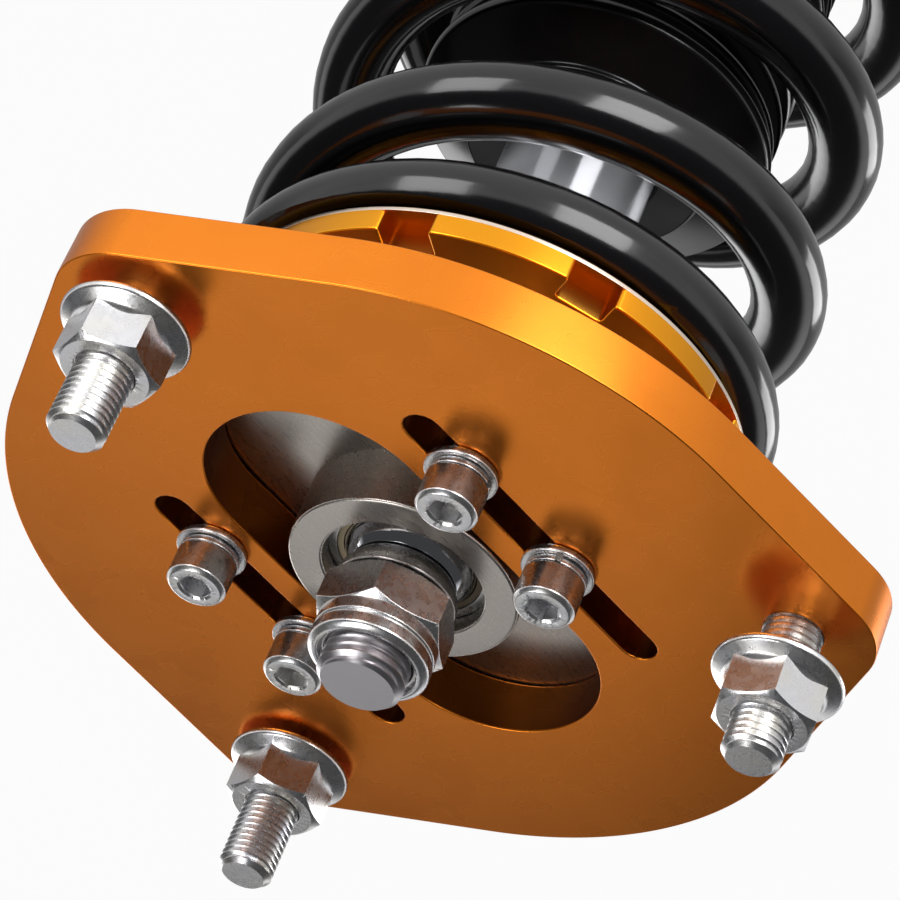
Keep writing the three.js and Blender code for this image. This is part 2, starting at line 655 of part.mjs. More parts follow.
// Turns wound at the open pitch after `turns` turns from an end: none while the coil is
// closed, then a growing share until the full pitch is reached.
function openTurns(turns) {
  if (turns <= CLOSED_TURNS) return 0;
  if (turns >= OPENED_TURNS) return turns - (CLOSED_TURNS + OPENED_TURNS) / 2;
  return (turns - CLOSED_TURNS) ** 2 / (2 * (OPENED_TURNS - CLOSED_TURNS));
}

// How far the wire's middle has dropped from the tip, on the first half of the spring.
function endDrop(turns) {
  return CLOSED_PITCH * turns + (COIL_PITCH - CLOSED_PITCH) * openTurns(turns);
}

const COIL_DROP = 2 * endDrop(COIL_TURNS / 2);
const COIL_BOTTOM = COIL_TOP - COIL_DROP - 2 * TIP_GRIND;

// The helix is drawn in straight chords, whose corners stand as far outside the true coil
// as their middles lie inside it.
const COIL_CORNER_RADIUS = (COIL_RADIUS * (1 + 1 / Math.cos(Math.PI / CURL_STEPS))) / 2;

// The wire's middle after `turns` turns: a right-hand helix whose two halves mirror each other.
function wireMiddle(turns) {
  const upper = turns <= COIL_TURNS / 2;
  const drop = upper ? endDrop(turns) : COIL_DROP - endDrop(COIL_TURNS - turns);
  const angle = radians(COIL_TIP_ANGLE) - 2 * Math.PI * turns;
  return new THREE.Vector3(
    COIL_CORNER_RADIUS * Math.cos(angle),
    COIL_CORNER_RADIUS * Math.sin(angle),
    COIL_TOP - TIP_GRIND - drop,
  );
}

// One unbroken tube, its two ends ground flat.
function coilGeometry() {
  const steps = COIL_TURNS * CURL_STEPS;
  const positions = [];
  for (let i = 0; i <= steps; i += 1) {
    const middle = wireMiddle((COIL_TURNS * i) / steps);
    const outward = new THREE.Vector3(middle.x, middle.y, 0).normalize();
    for (let side = 0; side < WIRE_SIDES; side += 1) {
      const turn = (2 * Math.PI * side) / WIRE_SIDES;
      const point = middle.clone().addScaledVector(outward, WIRE_RADIUS * Math.cos(turn));
      point.z = THREE.MathUtils.clamp(point.z + WIRE_RADIUS * Math.sin(turn), COIL_BOTTOM, COIL_TOP);
      positions.push(...point.toArray());
    }
  }
  const triangles = tubeTriangles(steps + 1, WIRE_SIDES);
  return closedGeometry(positions, triangles);
}

// Triangles of a tube of `rings` rings with a flat fan over each end.
function tubeTriangles(rings, sides) {
  const triangles = [];
  for (let ringIndex = 0; ringIndex + 1 < rings; ringIndex += 1) {
    for (let side = 0; side < sides; side += 1) {
      const a = ringIndex * sides + side;
      const b = ringIndex * sides + ((side + 1) % sides);
      triangles.push(a, b, a + sides, b, b + sides, a + sides);
    }
  }
  const last = (rings - 1) * sides;
  for (let side = 1; side + 1 < sides; side += 1) {
    triangles.push(0, side + 1, side, last, last + side, last + side + 1);
  }
  return triangles;
}

function closedGeometry(positions, triangles) {
  const geometry = new THREE.BufferGeometry();
  geometry.setAttribute('position', new THREE.Float32BufferAttribute(positions, 3));
  geometry.setIndex(triangles);
  return geometry;
}

// Least gap between points of the spring's surface that lie half a turn or more apart.
function coilGap(geometry) {
  const attribute = geometry.attributes.position;
  const point = new THREE.Vector3();
  const other = new THREE.Vector3();
  const apart = (CURL_STEPS * WIRE_SIDES) / 2;
  let least = Infinity;
  for (let i = 0; i < attribute.count; i += 1) {
    point.fromBufferAttribute(attribute, i);
    for (let j = i + apart; j < attribute.count; j += 1) {
      other.fromBufferAttribute(attribute, j);
      least = Math.min(least, point.distanceTo(other));
    }
  }
  return least;
}

function addSpring() {
  const geometry = coilGeometry();
  const gap = coilGap(geometry);
  const enough = gap > COIL_LEAST_GAP;
  console.log(`coil_spring least gap to itself ${gap.toFixed(2)} mm, over ${COIL_LEAST_GAP}: ${enough}`);
  add('coil_spring', solidOf(geometry), 'black');
}

// --- Piston rod, bump stop and dust boot ---

function pistonRod() {
  return turned([
    [0, ROD_BOTTOM],
    [ROD_STUB_RADIUS, ROD_BOTTOM],
    [ROD_STUB_RADIUS, PISTON_SHOULDER],
    [ROD_RADIUS, PISTON_SHOULDER],
    [ROD_RADIUS, ROD_SHOULDER],
    [STUB_RADIUS, ROD_SHOULDER],
    [STUB_RADIUS, STUB_TOP - STUB_CHAMFER],
    [STUB_RADIUS - STUB_CHAMFER, STUB_TOP],
    [0, STUB_TOP],
  ]);
}

function bumpStop() {
  const bore = ROD_RADIUS + GAP;
  const bead = BUMP_STOP_HEIGHT / BUMP_STOP_BEADS;
  const profile = [[bore, BUMP_STOP_BOTTOM]];
  for (let i = 0; i < BUMP_STOP_BEADS; i += 1) {
    const bottom = BUMP_STOP_BOTTOM + i * bead;
    profile.push([BUMP_STOP_RADIUS - BUMP_STOP_GROOVE, bottom]);
    profile.push([BUMP_STOP_RADIUS, bottom + bead * BUMP_STOP_SLOPE]);
    profile.push([BUMP_STOP_RADIUS, bottom + bead * (1 - BUMP_STOP_SLOPE)]);
  }
  profile.push([BUMP_STOP_RADIUS - BUMP_STOP_GROOVE, BUMP_STOP_TOP]);
  profile.push([bore, BUMP_STOP_TOP]);
  return turned(profile, SIDES.medium);
}

// Corner radius of a boot ring whose flats lie at the given radius.
function bootCorner(flatRadius) {
  return flatRadius / Math.cos(Math.PI / BOOT_SIDES);
}

// A short neck on the rod, a sloping shoulder with a narrow collar, pleats and a cuff on
// the gland's neck.
function dustBoot() {
  const neckBore = bootCorner(ROD_RADIUS + GAP);
  const cuffBore = bootCorner(GLAND_NECK_RADIUS + GAP);
  const cuffBottom = GLAND_FLANGE_TOP + GAP;
  const cuffTop = cuffBottom + CUFF_HEIGHT;
  const neckBottom = BOOT_TOP - BOOT_NECK_HEIGHT;
  const collarTop = neckBottom - BOOT_SHOULDER_HEIGHT;
  const collarBottom = collarTop - BOOT_COLLAR_HEIGHT;
  const pleats = Math.max(1, Math.round((collarBottom - cuffTop) / BOOT_PLEAT_PITCH));
  const pitch = (collarBottom - cuffTop) / pleats;
  const outer = [[BOOT_NECK_RADIUS, BOOT_TOP], [BOOT_NECK_RADIUS, neckBottom]];
  outer.push([BOOT_COLLAR_RADIUS, collarTop], [BOOT_COLLAR_RADIUS, collarBottom]);
  for (let i = 0; i < pleats; i += 1) {
    outer.push([BOOT_VALLEY_RADIUS, collarBottom - (i + BOOT_VALLEY_PHASE) * pitch]);
    outer.push([BOOT_PLEAT_RADIUS, collarBottom - (i + BOOT_VALLEY_PHASE + 0.5) * pitch]);
  }
  outer.push([BOOT_VALLEY_RADIUS, cuffTop], [BOOT_VALLEY_RADIUS, cuffBottom]);
  const boreRadius = BOOT_VALLEY_RADIUS - BOOT_WALL;
  const inner = [[cuffBore, cuffBottom], [cuffBore, cuffTop]];
  for (let i = pleats - 1; i > 0; i -= BOOT_RINGS_BORE) {
    inner.push([boreRadius, collarBottom - i * pitch]);
  }
  inner.push([boreRadius, collarBottom], [BOOT_COLLAR_RADIUS - BOOT_WALL, collarTop - BOOT_WALL]);
  inner.push([BOOT_NECK_RADIUS, neckBottom - BOOT_WALL], [neckBore, neckBottom - BOOT_WALL]);
  inner.push([neckBore, BOOT_TOP]);
  return turned([...outer, ...inner], BOOT_SIDES);
}

function addRod() {
  add('piston_rod', pistonRod(), 'chrome');
  add('bump_stop', bumpStop(), 'foam');
  add('dust_boot', dustBoot(), 'rubber');
}

// --- Damper body and what works inside it ---

function glandNut() {
  const bore = ROD_RADIUS + GAP;
  return turned([
    [bore, GLAND_BOTTOM],
    [TUBE_BORE_RADIUS - GAP, GLAND_BOTTOM],
    [TUBE_BORE_RADIUS - GAP, TUBE_TOP + GAP],
    [TUBE_RADIUS, TUBE_TOP + GAP],
    [TUBE_RADIUS, GLAND_FLANGE_TOP],
    [GLAND_NECK_RADIUS, GLAND_FLANGE_TOP],
    [GLAND_NECK_RADIUS, GLAND_TOP],
    [bore, GLAND_TOP],
  ]);
}

function tubeRing(height, top) {
  return ring(ROD_RADIUS + GAP, TUBE_BORE_RADIUS - GAP, top - height, top);
}

function piston() {
  const bandMiddle = (PISTON_TOP + PISTON_BOTTOM) / 2;
  const half = BAND_HEIGHT / 2 + STACK_GAP;
  const outer = TUBE_BORE_RADIUS - 2 * GAP;
  const groove = outer - BAND_THICKNESS;
  return turned([
    [ROD_STUB_RADIUS + GAP, PISTON_BOTTOM],
    [outer, PISTON_BOTTOM],
    [outer, bandMiddle - half],
    [groove, bandMiddle - half],
    [groove, bandMiddle + half],
    [outer, bandMiddle + half],
    [outer, PISTON_TOP],
    [ROD_STUB_RADIUS + GAP, PISTON_TOP],
  ]);
}

function pistonBand() {
  const middle = (PISTON_TOP + PISTON_BOTTOM) / 2;
  const inner = TUBE_BORE_RADIUS - 2 * GAP - BAND_THICKNESS + STACK_GAP;
  return ring(inner, TUBE_BORE_RADIUS - GAP, middle - BAND_HEIGHT / 2, middle + BAND_HEIGHT / 2);
}

// A stepped stack of shims, widest next to the piston.
function shimStack(top, widestAtBottom) {
  const bottom = top - SHIM_STACK_HEIGHT;
  const profile = [[ROD_STUB_RADIUS + GAP, top], [ROD_STUB_RADIUS + GAP, bottom]];
  for (let i = 0; i < SHIM_COUNT; i += 1) {
    const place = widestAtBottom ? i : SHIM_COUNT - 1 - i;
    const radius = SHIM_RADIUS - place * SHIM_STEP;
    profile.push([radius, bottom + i * SHIM_THICKNESS], [radius, bottom + (i + 1) * SHIM_THICKNESS]);
  }
  return turned(profile);
}

function pistonNut() {
  const bore = ring(0, ROD_STUB_RADIUS + GAP, PISTON_NUT_BOTTOM - OVERCUT, PISTON_NUT_TOP + OVERCUT);
  return hexagon(PISTON_NUT_ACROSS_FLATS, PISTON_NUT_BOTTOM, PISTON_NUT_HEIGHT).subtract(bore);
}

function floatingPiston() {
  const outer = TUBE_BORE_RADIUS - GAP;
  const middle = (FLOAT_TOP + FLOAT_BOTTOM) / 2;
  const half = FLOAT_SEAL_HEIGHT / 2 + STACK_GAP;
  const groove = outer - FLOAT_SEAL_DEPTH;
  return turned([
    [0, FLOAT_BOTTOM],
    [outer, FLOAT_BOTTOM],
    [outer, middle - half],
    [groove, middle - half],
    [groove, middle + half],
    [outer, middle + half],
    [outer, FLOAT_TOP],
    [0, FLOAT_TOP],
  ]);
}

function floatingSeal() {
  const middle = (FLOAT_TOP + FLOAT_BOTTOM) / 2;
  const outer = TUBE_BORE_RADIUS - GAP;
  const inner = outer - FLOAT_SEAL_DEPTH + STACK_GAP;
  return ring(inner, outer, middle - FLOAT_SEAL_HEIGHT / 2, middle + FLOAT_SEAL_HEIGHT / 2);
}

function addDamper() {
  add('damper_tube', ring(TUBE_BORE_RADIUS, TUBE_RADIUS, TUBE_BOTTOM, TUBE_TOP, SIDES.large), 'steel');
  add('gland_nut', glandNut(), 'black');
  add('rod_seal', tubeRing(SEAL_HEIGHT, SEAL_TOP), 'rubber');
  add('rod_guide', tubeRing(GUIDE_HEIGHT, GUIDE_TOP), 'steel');
  add('rebound_shims', shimStack(REBOUND_SHIM_TOP, true), 'steel');
  add('piston', piston(), 'steel');
  add('piston_band', pistonBand(), 'liner');
  add('compression_shims', shimStack(COMPRESSION_SHIM_TOP, false), 'steel');
  add('piston_nut', pistonNut(), 'zinc');
  add('floating_piston', floatingPiston(), 'steel');
  add('floating_seal', floatingSeal(), 'rubber');
  add('end_plug', ring(0, TUBE_BORE_RADIUS - GAP, TUBE_BOTTOM, PLUG_TOP), 'steel');
}

// --- Lower perch and lock rings ---

const PERCH_WASHER_TOP = COIL_BOTTOM - GAP;
const PERCH_TOP = PERCH_WASHER_TOP - PERCH_WASHER_THICKNESS - GAP;
const PERCH_LOCK_TOP = PERCH_TOP - PERCH_HEIGHT - GAP;

function perchWasher() {
  const inner = COIL_RADIUS - WIRE_RADIUS;
  return ring(inner, PERCH_RADIUS, PERCH_WASHER_TOP - PERCH_WASHER_THICKNESS, PERCH_WASHER_TOP, SIDES.large);
}

// A flange under the spring, a pilot inside it and a castellated skirt below.
function perchRing() {
  const pilotOuter = COIL_RADIUS - WIRE_RADIUS - PILOT_CLEARANCE;
  const pilotTop = COIL_BOTTOM + PILOT_HEIGHT;
  const bottom = PERCH_TOP - PERCH_HEIGHT;
  const flangeBottom = PERCH_TOP - PERCH_FLANGE_HEIGHT;
  const body = turned([
    [COLLAR_BORE_RADIUS, bottom],
    [COLLAR_RADIUS, bottom],
    [COLLAR_RADIUS, flangeBottom],
    [PERCH_RADIUS, flangeBottom],
    [PERCH_RADIUS, PERCH_TOP],
    [pilotOuter, PERCH_TOP],
    [pilotOuter, pilotTop],
    [COLLAR_BORE_RADIUS, pilotTop],
  ], SIDES.large);
  return collarNotches(body, bottom, flangeBottom);
}

function collarNotches(solid, bottom, top) {
  const inner = COLLAR_RADIUS - COLLAR_NOTCH_DEPTH;
  const notches = { count: COLLAR_NOTCHES, firstAngle: 0, width: COLLAR_NOTCH_WIDTH };
  return notched(solid, notches, [inner, COLLAR_RADIUS + OVERCUT], [bottom - OVERCUT, top]);
}

function lockRing(top) {
  const bottom = top - COLLAR_HEIGHT;
  const body = ring(COLLAR_BORE_RADIUS, COLLAR_RADIUS, bottom, top, SIDES.large);
  return collarNotches(body, bottom, top + OVERCUT);
}

function addPerch() {
  add('perch_washer', perchWasher(), 'black');
  add('perch_ring', perchRing(), 'anodised');
  add('perch_lock_ring', lockRing(PERCH_LOCK_TOP), 'anodised');
}

// --- Knuckle bracket ---

// One ear, drawn in X and Z, as thick as EAR_THICKNESS along Y.
function bracketEar(side) {
  const top = BRACKET_TOP - EAR_TOP_DROP;
  const bottom = top - EAR_HEIGHT;
  const shape = roundedRectangle(-EAR_REACH, -TUBE_RADIUS, bottom, top, EAR_CORNER_RADIUS);
  for (const end of [1, -1]) {
    const height = (top + bottom) / 2 + (end * KNUCKLE_HOLE_SPACING) / 2;
    shape.holes.push(roundPath(-KNUCKLE_HOLE_REACH, height, KNUCKLE_HOLE_RADIUS));
  }
  const upright = prism(shape, 0, EAR_THICKNESS).rotate([90, 0, 0]);
  const near = side > 0 ? EAR_INNER_OFFSET + EAR_THICKNESS : -EAR_INNER_OFFSET;
  return upright.translate([0, near, 0]);
}

// A sleeve screwed on the damper body with two ears that clasp the wheel's knuckle.
function knuckleBracket() {
  const sleeveRadius = COLLAR_BORE_RADIUS + BRACKET_WALL;
  const sleeve = ring(0, sleeveRadius, BRACKET_BOTTOM, BRACKET_TOP, SIDES.large);
  const bore = ring(0, COLLAR_BORE_RADIUS, BRACKET_BOTTOM - EAR_HEIGHT, BRACKET_TOP + OVERCUT, SIDES.large);
  return sleeve.add(bracketEar(1)).add(bracketEar(-1)).subtract(bore);
}

function addBracket() {
  add('bracket_lock_ring', lockRing(BRACKET_TOP + GAP + COLLAR_HEIGHT), 'anodised');
  add('knuckle_bracket', knuckleBracket(), 'black');
}

add('camber_plate', camberPlate(), 'anodised');
addStuds();
add('slide_carrier', slideCarrier(), 'steel');
addClampScrews();
addBearing();
addRodStack();
addSpring();
addRod();
addDamper();
addPerch();
addBracket();

export default assembly;
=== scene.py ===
"""Front strut coilover, dressed over its CAD frame.

Shapes are drawn in millimetres and brought to metres when a piece is finished. +Z points up the
strut, to the camber plate's top face at height 0, and X is the way the bearing carrier slides.
"""

import json
from math import acos, asin, atan2, ceil, cos, pi, radians, sin, sqrt, tan

import bmesh
import bpy
from mathutils import Matrix, Vector


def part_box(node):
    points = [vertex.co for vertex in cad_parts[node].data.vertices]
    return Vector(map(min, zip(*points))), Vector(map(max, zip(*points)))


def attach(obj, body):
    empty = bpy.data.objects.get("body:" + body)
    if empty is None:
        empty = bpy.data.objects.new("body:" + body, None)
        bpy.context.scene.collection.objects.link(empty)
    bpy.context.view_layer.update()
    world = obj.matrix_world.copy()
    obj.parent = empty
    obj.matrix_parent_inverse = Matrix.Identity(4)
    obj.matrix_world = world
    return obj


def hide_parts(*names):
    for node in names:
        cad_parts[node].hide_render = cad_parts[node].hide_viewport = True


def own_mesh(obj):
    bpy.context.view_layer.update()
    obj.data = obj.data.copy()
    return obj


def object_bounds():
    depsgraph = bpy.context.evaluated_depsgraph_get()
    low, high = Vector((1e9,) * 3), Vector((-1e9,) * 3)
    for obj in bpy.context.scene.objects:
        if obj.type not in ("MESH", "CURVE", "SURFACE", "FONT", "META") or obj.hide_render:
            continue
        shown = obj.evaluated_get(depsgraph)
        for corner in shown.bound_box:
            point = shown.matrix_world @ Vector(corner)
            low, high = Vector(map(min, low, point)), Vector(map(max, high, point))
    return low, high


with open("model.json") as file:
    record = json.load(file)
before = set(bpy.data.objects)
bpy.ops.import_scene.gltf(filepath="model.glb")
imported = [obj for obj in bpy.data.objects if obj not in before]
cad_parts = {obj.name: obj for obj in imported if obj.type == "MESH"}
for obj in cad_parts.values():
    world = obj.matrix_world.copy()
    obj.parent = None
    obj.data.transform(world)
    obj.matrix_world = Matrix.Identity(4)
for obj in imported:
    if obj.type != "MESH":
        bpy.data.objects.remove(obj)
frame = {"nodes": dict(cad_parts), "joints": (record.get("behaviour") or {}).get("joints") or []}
cad_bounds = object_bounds()
scene = bpy.context.scene

MM = 0.001
SMOOTH_ANGLE = radians(34)
BEVEL_ANGLE = radians(24)


# ---- Places taken from the frame


class Extent:
    """A CAD node's box, in millimetres."""

    def __init__(self, node):
        low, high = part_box(node)
        self.low = low / MM
        self.high = high / MM
        self.bottom = self.low.z
        self.top = self.high.z
        self.middle = (self.low + self.high) / 2
        self.place = (self.middle.x, self.middle.y, 0)
        self.radius = (self.high.x - self.low.x) / 2


# ---- Mesh helpers


def placed(name, data):
    """A new object of the scene."""
    made = bpy.data.objects.new(name, data)
    scene.collection.objects.link(made)
    return made


def linked(bm, name="shape"):
    """An object from a bmesh, which is freed."""
    mesh = bpy.data.meshes.new(name)
    bm.to_mesh(mesh)
    bm.free()
    return placed(name, mesh)


def as_object(bm, name="shape"):
    """An object from a bmesh, welded, with its faces pointing outwards."""
    bmesh.ops.remove_doubles(bm, verts=bm.verts, dist=1e-4)
    bmesh.ops.dissolve_degenerate(bm, edges=bm.edges, dist=1e-5)
    bmesh.ops.recalc_face_normals(bm, faces=bm.faces)
    return linked(bm, name)


def around(radius, turn):
    """A place at a distance from Z and at a turn from X."""
    return radius * cos(turn), radius * sin(turn)


def swept(bm, geometry, angle, steps, rise=0.0, centre=(0, 0, 0), merge=False):
    """Turns geometry about an upright axis, rising at each step."""
    path = {"cent": centre, "axis": (0, 0, 1), "dvec": (0, 0, rise), "angle": angle}
    return bmesh.ops.spin(bm, geom=geometry, steps=steps, use_merge=merge, use_duplicate=False, **path)


def rounded(points, radius, segments=3):
    """A closed (radius, height) profile with each corner off the axis rounded."""
    nothing = 1e-6
    largest_share = 0.45
    result = []
    for index, point in enumerate(points):
        corner = Vector(point)
        before = Vector(points[index - 1]) - corner
        after = Vector(points[(index + 1) % len(points)]) - corner
        if corner.x < nothing or before.length < nothing or after.length < nothing:
            result.append(corner)
            continue
        reach = min(radius, largest_share * before.length, largest_share * after.length)
        start = corner + before.normalized() * reach
        end = corner + after.normalized() * reach
        for step in range(segments + 1):
            share = step / segments
            result.append(start * (1 - share) ** 2 + corner * 2 * share * (1 - share) + end * share**2)
    return [(point.x, point.y) for point in result]


def turned(points, edge=0.3, steps=96):
    """An object turned about Z from a (radius, height) profile, its corners rounded by edge.

    The profile closes on itself, or starts and ends on the axis.
    """
    bm = bmesh.new()
    profile = rounded(points, edge) if edge else points
    verts = [bm.verts.new((radius, 0, height)) for radius, height in profile]
    edges = [bm.edges.new(pair) for pair in zip(verts, verts[1:])]
    if profile[0][0] > 0:
        edges.append(bm.edges.new((verts[-1], verts[0])))
    swept(bm, verts + edges, 2 * pi, steps, merge=True)
    return as_object(bm)


def stepped(bore, bottom, *steps):
    """A ring's profile: from the bore, across to each step's radius and on to its height."""
    points = [(bore, bottom)]
    for radius, height in steps:
        points += [(radius, points[-1][1]), (radius, height)]
    return points + [(bore, height)]


def ring(inner, outer, bottom, top, edge, steps=96):
    """A plain ring, or a cylinder where inner is 0."""
    return turned(stepped(inner, bottom, (outer, top)), edge, steps)


def hexagon(across_flats, bottom, top):
    bm = bmesh.new()
    corner = across_flats / sqrt(3)
    bmesh.ops.create_cone(bm, cap_ends=True, segments=6, radius1=corner, radius2=corner, depth=top - bottom)
    bmesh.ops.translate(bm, vec=(0, 0, (top + bottom) / 2), verts=bm.verts)
    return as_object(bm)


def block(low, high):
    """A box between two corners."""
    bm = bmesh.new()
    bmesh.ops.create_cube(bm, size=1)
    bmesh.ops.scale(bm, vec=Vector(high) - Vector(low), verts=bm.verts)
    bmesh.ops.translate(bm, vec=(Vector(high) + Vector(low)) / 2, verts=bm.verts)
    return as_object(bm)


def carve(piece, tool, operation="DIFFERENCE"):
    """Cuts, joins or intersects piece with tool, which is used up."""
    modifier = piece.modifiers.new("carve", "BOOLEAN")
    modifier.operation = operation
    modifier.object = tool
    depsgraph = bpy.context.evaluated_depsgraph_get()
    mesh = bpy.data.meshes.new_from_object(piece.evaluated_get(depsgraph))
    piece.modifiers.clear()
    piece.data = mesh
    bpy.data.objects.remove(tool)
    return piece


def moved(piece, offset=(0, 0, 0), turn=0.0):
    piece.data.transform(Matrix.Translation(offset) @ Matrix.Rotation(turn, 4, "Z"))
    return piece


def joined(pieces):
    """One object from several."""
    bm = bmesh.new()
    for piece in pieces:
        bm.from_mesh(piece.data)
        bpy.data.objects.remove(piece)
    return linked(bm)


def cut_flat(bm, bottom, top, close=True):
    """Takes off what lies above top and below bottom, and closes the cuts."""
    for height, way in ((top, 1), (bottom, -1)):
        geometry = bm.verts[:] + bm.edges[:] + bm.faces[:]
        plane = {"plane_co": (0, 0, height), "plane_no": (0, 0, way)}
        cut = bmesh.ops.bisect_plane(bm, geom=geometry, dist=1e-4, clear_outer=True, **plane)
        rim = [item for item in cut["geom_cut"] if isinstance(item, bmesh.types.BMEdge)]
        if close:
            bmesh.ops.edgeloop_fill(bm, edges=rim)


def finish(piece, node, suffix, body, look, bevel=0.0, replaces=True):
    """Brings a node's piece to metres, softens its edges, dresses it and puts it on its body."""
    piece.name = f"{node}_{suffix}"
    piece.data.name = piece.name
    piece.data.transform(Matrix.Scale(MM, 4))
    piece.data.shade_smooth()
    piece.data.set_sharp_from_angle(angle=SMOOTH_ANGLE)
    if bevel:
        soften = piece.modifiers.new("edges", "BEVEL")
        soften.width = bevel * MM
        soften.segments = 2
        soften.limit_method = "ANGLE"
        soften.angle_limit = BEVEL_ANGLE
    weighted = piece.modifiers.new("shading", "WEIGHTED_NORMAL")
    weighted.keep_sharp = not bevel
    material, record_slot = LOOKS[look]
    piece.data.materials.clear()
    piece.data.materials.append(material)
    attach(piece, body)
    if replaces:
        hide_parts(node)


# ---- Flat pieces with round-ended holes


def arc(x, y, radius, start, end):
    """An arc about (x, y), its angles in radians."""
    return {"centre": (x, y), "radius": radius, "start": start, "end": end}


def long_hole(x, y, half_travel, radius):
    return [
        arc(x + half_travel, y, radius, -pi / 2, pi / 2),
        arc(x - half_travel, y, radius, pi / 2, 1.5 * pi),
    ]


def round_hole(x, y, radius):
    return [arc(x, y, radius, 0, 2 * pi)]


def round_cornered(left, right, bottom, top, radius):
    left, right, bottom, top = left + radius, right - radius, bottom + radius, top - radius
    centres = [(right, top), (left, top), (left, bottom), (right, bottom)]
    return [arc(x, y, radius, turn * pi / 2, (turn + 1) * pi / 2) for turn, (x, y) in enumerate(centres)]


def castellated(radius, floor, width, count, first_angle, corner=0.6):
    """A disc's outline with straight-sided notches, all their corners rounded."""
    lip_height = width / 2 + corner
    lip_reach = sqrt((radius - corner) ** 2 - lip_height**2)
    lip_angle = atan2(lip_height, lip_reach)
    step = 2 * pi / count
    notch = [
        (lip_reach, -lip_height, corner, -lip_angle, pi / 2),
        (floor + corner, corner - width / 2, corner, -pi / 2, -pi),
        (floor + corner, width / 2 - corner, corner, pi, pi / 2),
        (lip_reach, lip_height, corner, -pi / 2, lip_angle),
        (0, 0, radius, lip_angle, step - lip_angle),
    ]
    arcs = []
    for index in range(count):
        turn = radians(first_angle) + index * step
        for x, y, size, start, end in notch:
            place = Matrix.Rotation(turn, 2) @ Vector((x, y))
            arcs.append(arc(place.x, place.y, size, turn + start, turn + end))
    return arcs


LONGEST_CHORD = 1.1


def arc_loop(bm, arcs, grow, height):
    """A closed loop of edges along arcs joined by straight lines.

    Each arc's radius is grown; one that runs clockwise is hollow, so it shrinks instead.
    """
    loop_edges = []
    ends = []
    for piece in arcs:
        angle = piece["end"] - piece["start"]
        radius = piece["radius"] + (grow if angle > 0 else -grow)
        x, y = piece["centre"]
        full = angle > 1.99 * pi
        steps = max(4, ceil(piece["radius"] * abs(angle) / LONGEST_CHORD))
        across, along = around(radius, piece["start"])
        first = bm.verts.new((x + across, y + along, height))
        before = set(bm.edges)
        arm = swept(bm, [first], angle, steps, centre=(x, y, height), merge=full)
        loop_edges += [edge for edge in bm.edges if edge not in before]
        last = [item for item in arm["geom_last"] if isinstance(item, bmesh.types.BMVert)][0]
        ends.append((first, last, full))
    for index, (first, last, full) in enumerate(ends):
        following = ends[(index + 1) % len(ends)][0]
        if not full:
            loop_edges.append(bm.edges.new((last, following)))
    return loop_edges


ROUNDING_STEPS = 3


def flat_piece(outline, holes, bottom, top, edge=0.4, foot=True):
    """A plate between two heights, its outline and holes given as arcs.

    The edges of its upper face are rounded, and those of its lower face too where it has a foot.
    """
    bm = bmesh.new()
    levels = []
    for step in range(ROUNDING_STEPS + 1):
        turn = step * pi / (2 * ROUNDING_STEPS)
        levels.append((edge * (1 - sin(turn)), top - edge * (1 - cos(turn))))
    if foot:
        levels += [(inset, bottom + top - height) for inset, height in reversed(levels)]
    else:
        levels.append((0, bottom))
    edges_above = []
    edges_below = []
    for arcs, way in [(outline, -1)] + [(hole, 1) for hole in holes]:
        loops = [arc_loop(bm, arcs, way * inset, height) for inset, height in levels]
        for upper, lower in zip(loops, loops[1:]):
            bmesh.ops.bridge_loops(bm, edges=upper + lower)
        edges_above += loops[0]
        edges_below += loops[-1]
    for edges, way in ((edges_above, 1), (edges_below, -1)):
        bmesh.ops.triangle_fill(bm, edges=edges, use_beauty=True, normal=(0, 0, way))
    return as_object(bm)


# ---- Threads and nuts

# One turn of thread as (depth, rise), both in pitches
THREAD_SHAPE = ((0.6, 0.0), (0.6, 0.14), (0.0, 0.46), (0.0, 0.62))
NUT_CONE_ANGLE = radians(30)
NUT_FACE_SHARE = 0.475
COUNTERSINK = 0.2


def threaded(radius, pitch, bottom, top, chamfer, hollow=False, steps=48):
    """A right-hand thread cut flat at both ends, with a chamfer on each."""
    bm = bmesh.new()
    verts = []
    for turn in range(ceil((top - bottom) / pitch) + 3):
        for depth, rise in THREAD_SHAPE:
            height = bottom - 2 * pitch + (turn + rise) * pitch
            verts.append(bm.verts.new((radius - depth * pitch, 0, height)))
    edges = [bm.edges.new(pair) for pair in zip(verts, verts[1:])]
    swept(bm, verts + edges, 2 * pi, steps, rise=pitch / steps)
    bmesh.ops.remove_doubles(bm, verts=bm.verts, dist=1e-3)
    cut_flat(bm, bottom, top, close=not hollow)
    for vert in bm.verts:
        from_end = min(top - vert.co.z, vert.co.z - bottom)
        limit = radius - max(0.0, chamfer - from_end)
        across = sqrt(vert.co.x**2 + vert.co.y**2)
        if across > limit:
            vert.co.x *= limit / across
            vert.co.y *= limit / across
    return as_object(bm)


def chamfered_hexagon(across_flats, bottom, top, both_ends=False):
    """A nut's six-sided body, its corners cut back by a cone at the top, or at both ends."""
    corner = across_flats / sqrt(3) + 0.5
    face = across_flats * NUT_FACE_SHARE
    drop = (corner - face) * tan(NUT_CONE_ANGLE)
    lower = [(face, bottom), (corner, bottom + drop)] if both_ends else [(corner, bottom)]
    cone = turned([(0, bottom)] + lower + [(corner, top - drop), (face, top), (0, top)], edge=0)
    return carve(hexagon(across_flats, bottom, top), cone, "INTERSECT")


def bore_tool(radius, bottom, top):
    """A cylinder that widens at both ends, to bore a nut and countersink it."""
    past = 1.0
    wide = radius + COUNTERSINK + past
    points = [
        (0, bottom - past),
        (wide, bottom - past),
        (radius, bottom + COUNTERSINK),
        (radius, top - COUNTERSINK),
        (wide, top + past),
        (0, top + past),
    ]
    return turned(points, edge=0, steps=64)


# ---- Materials


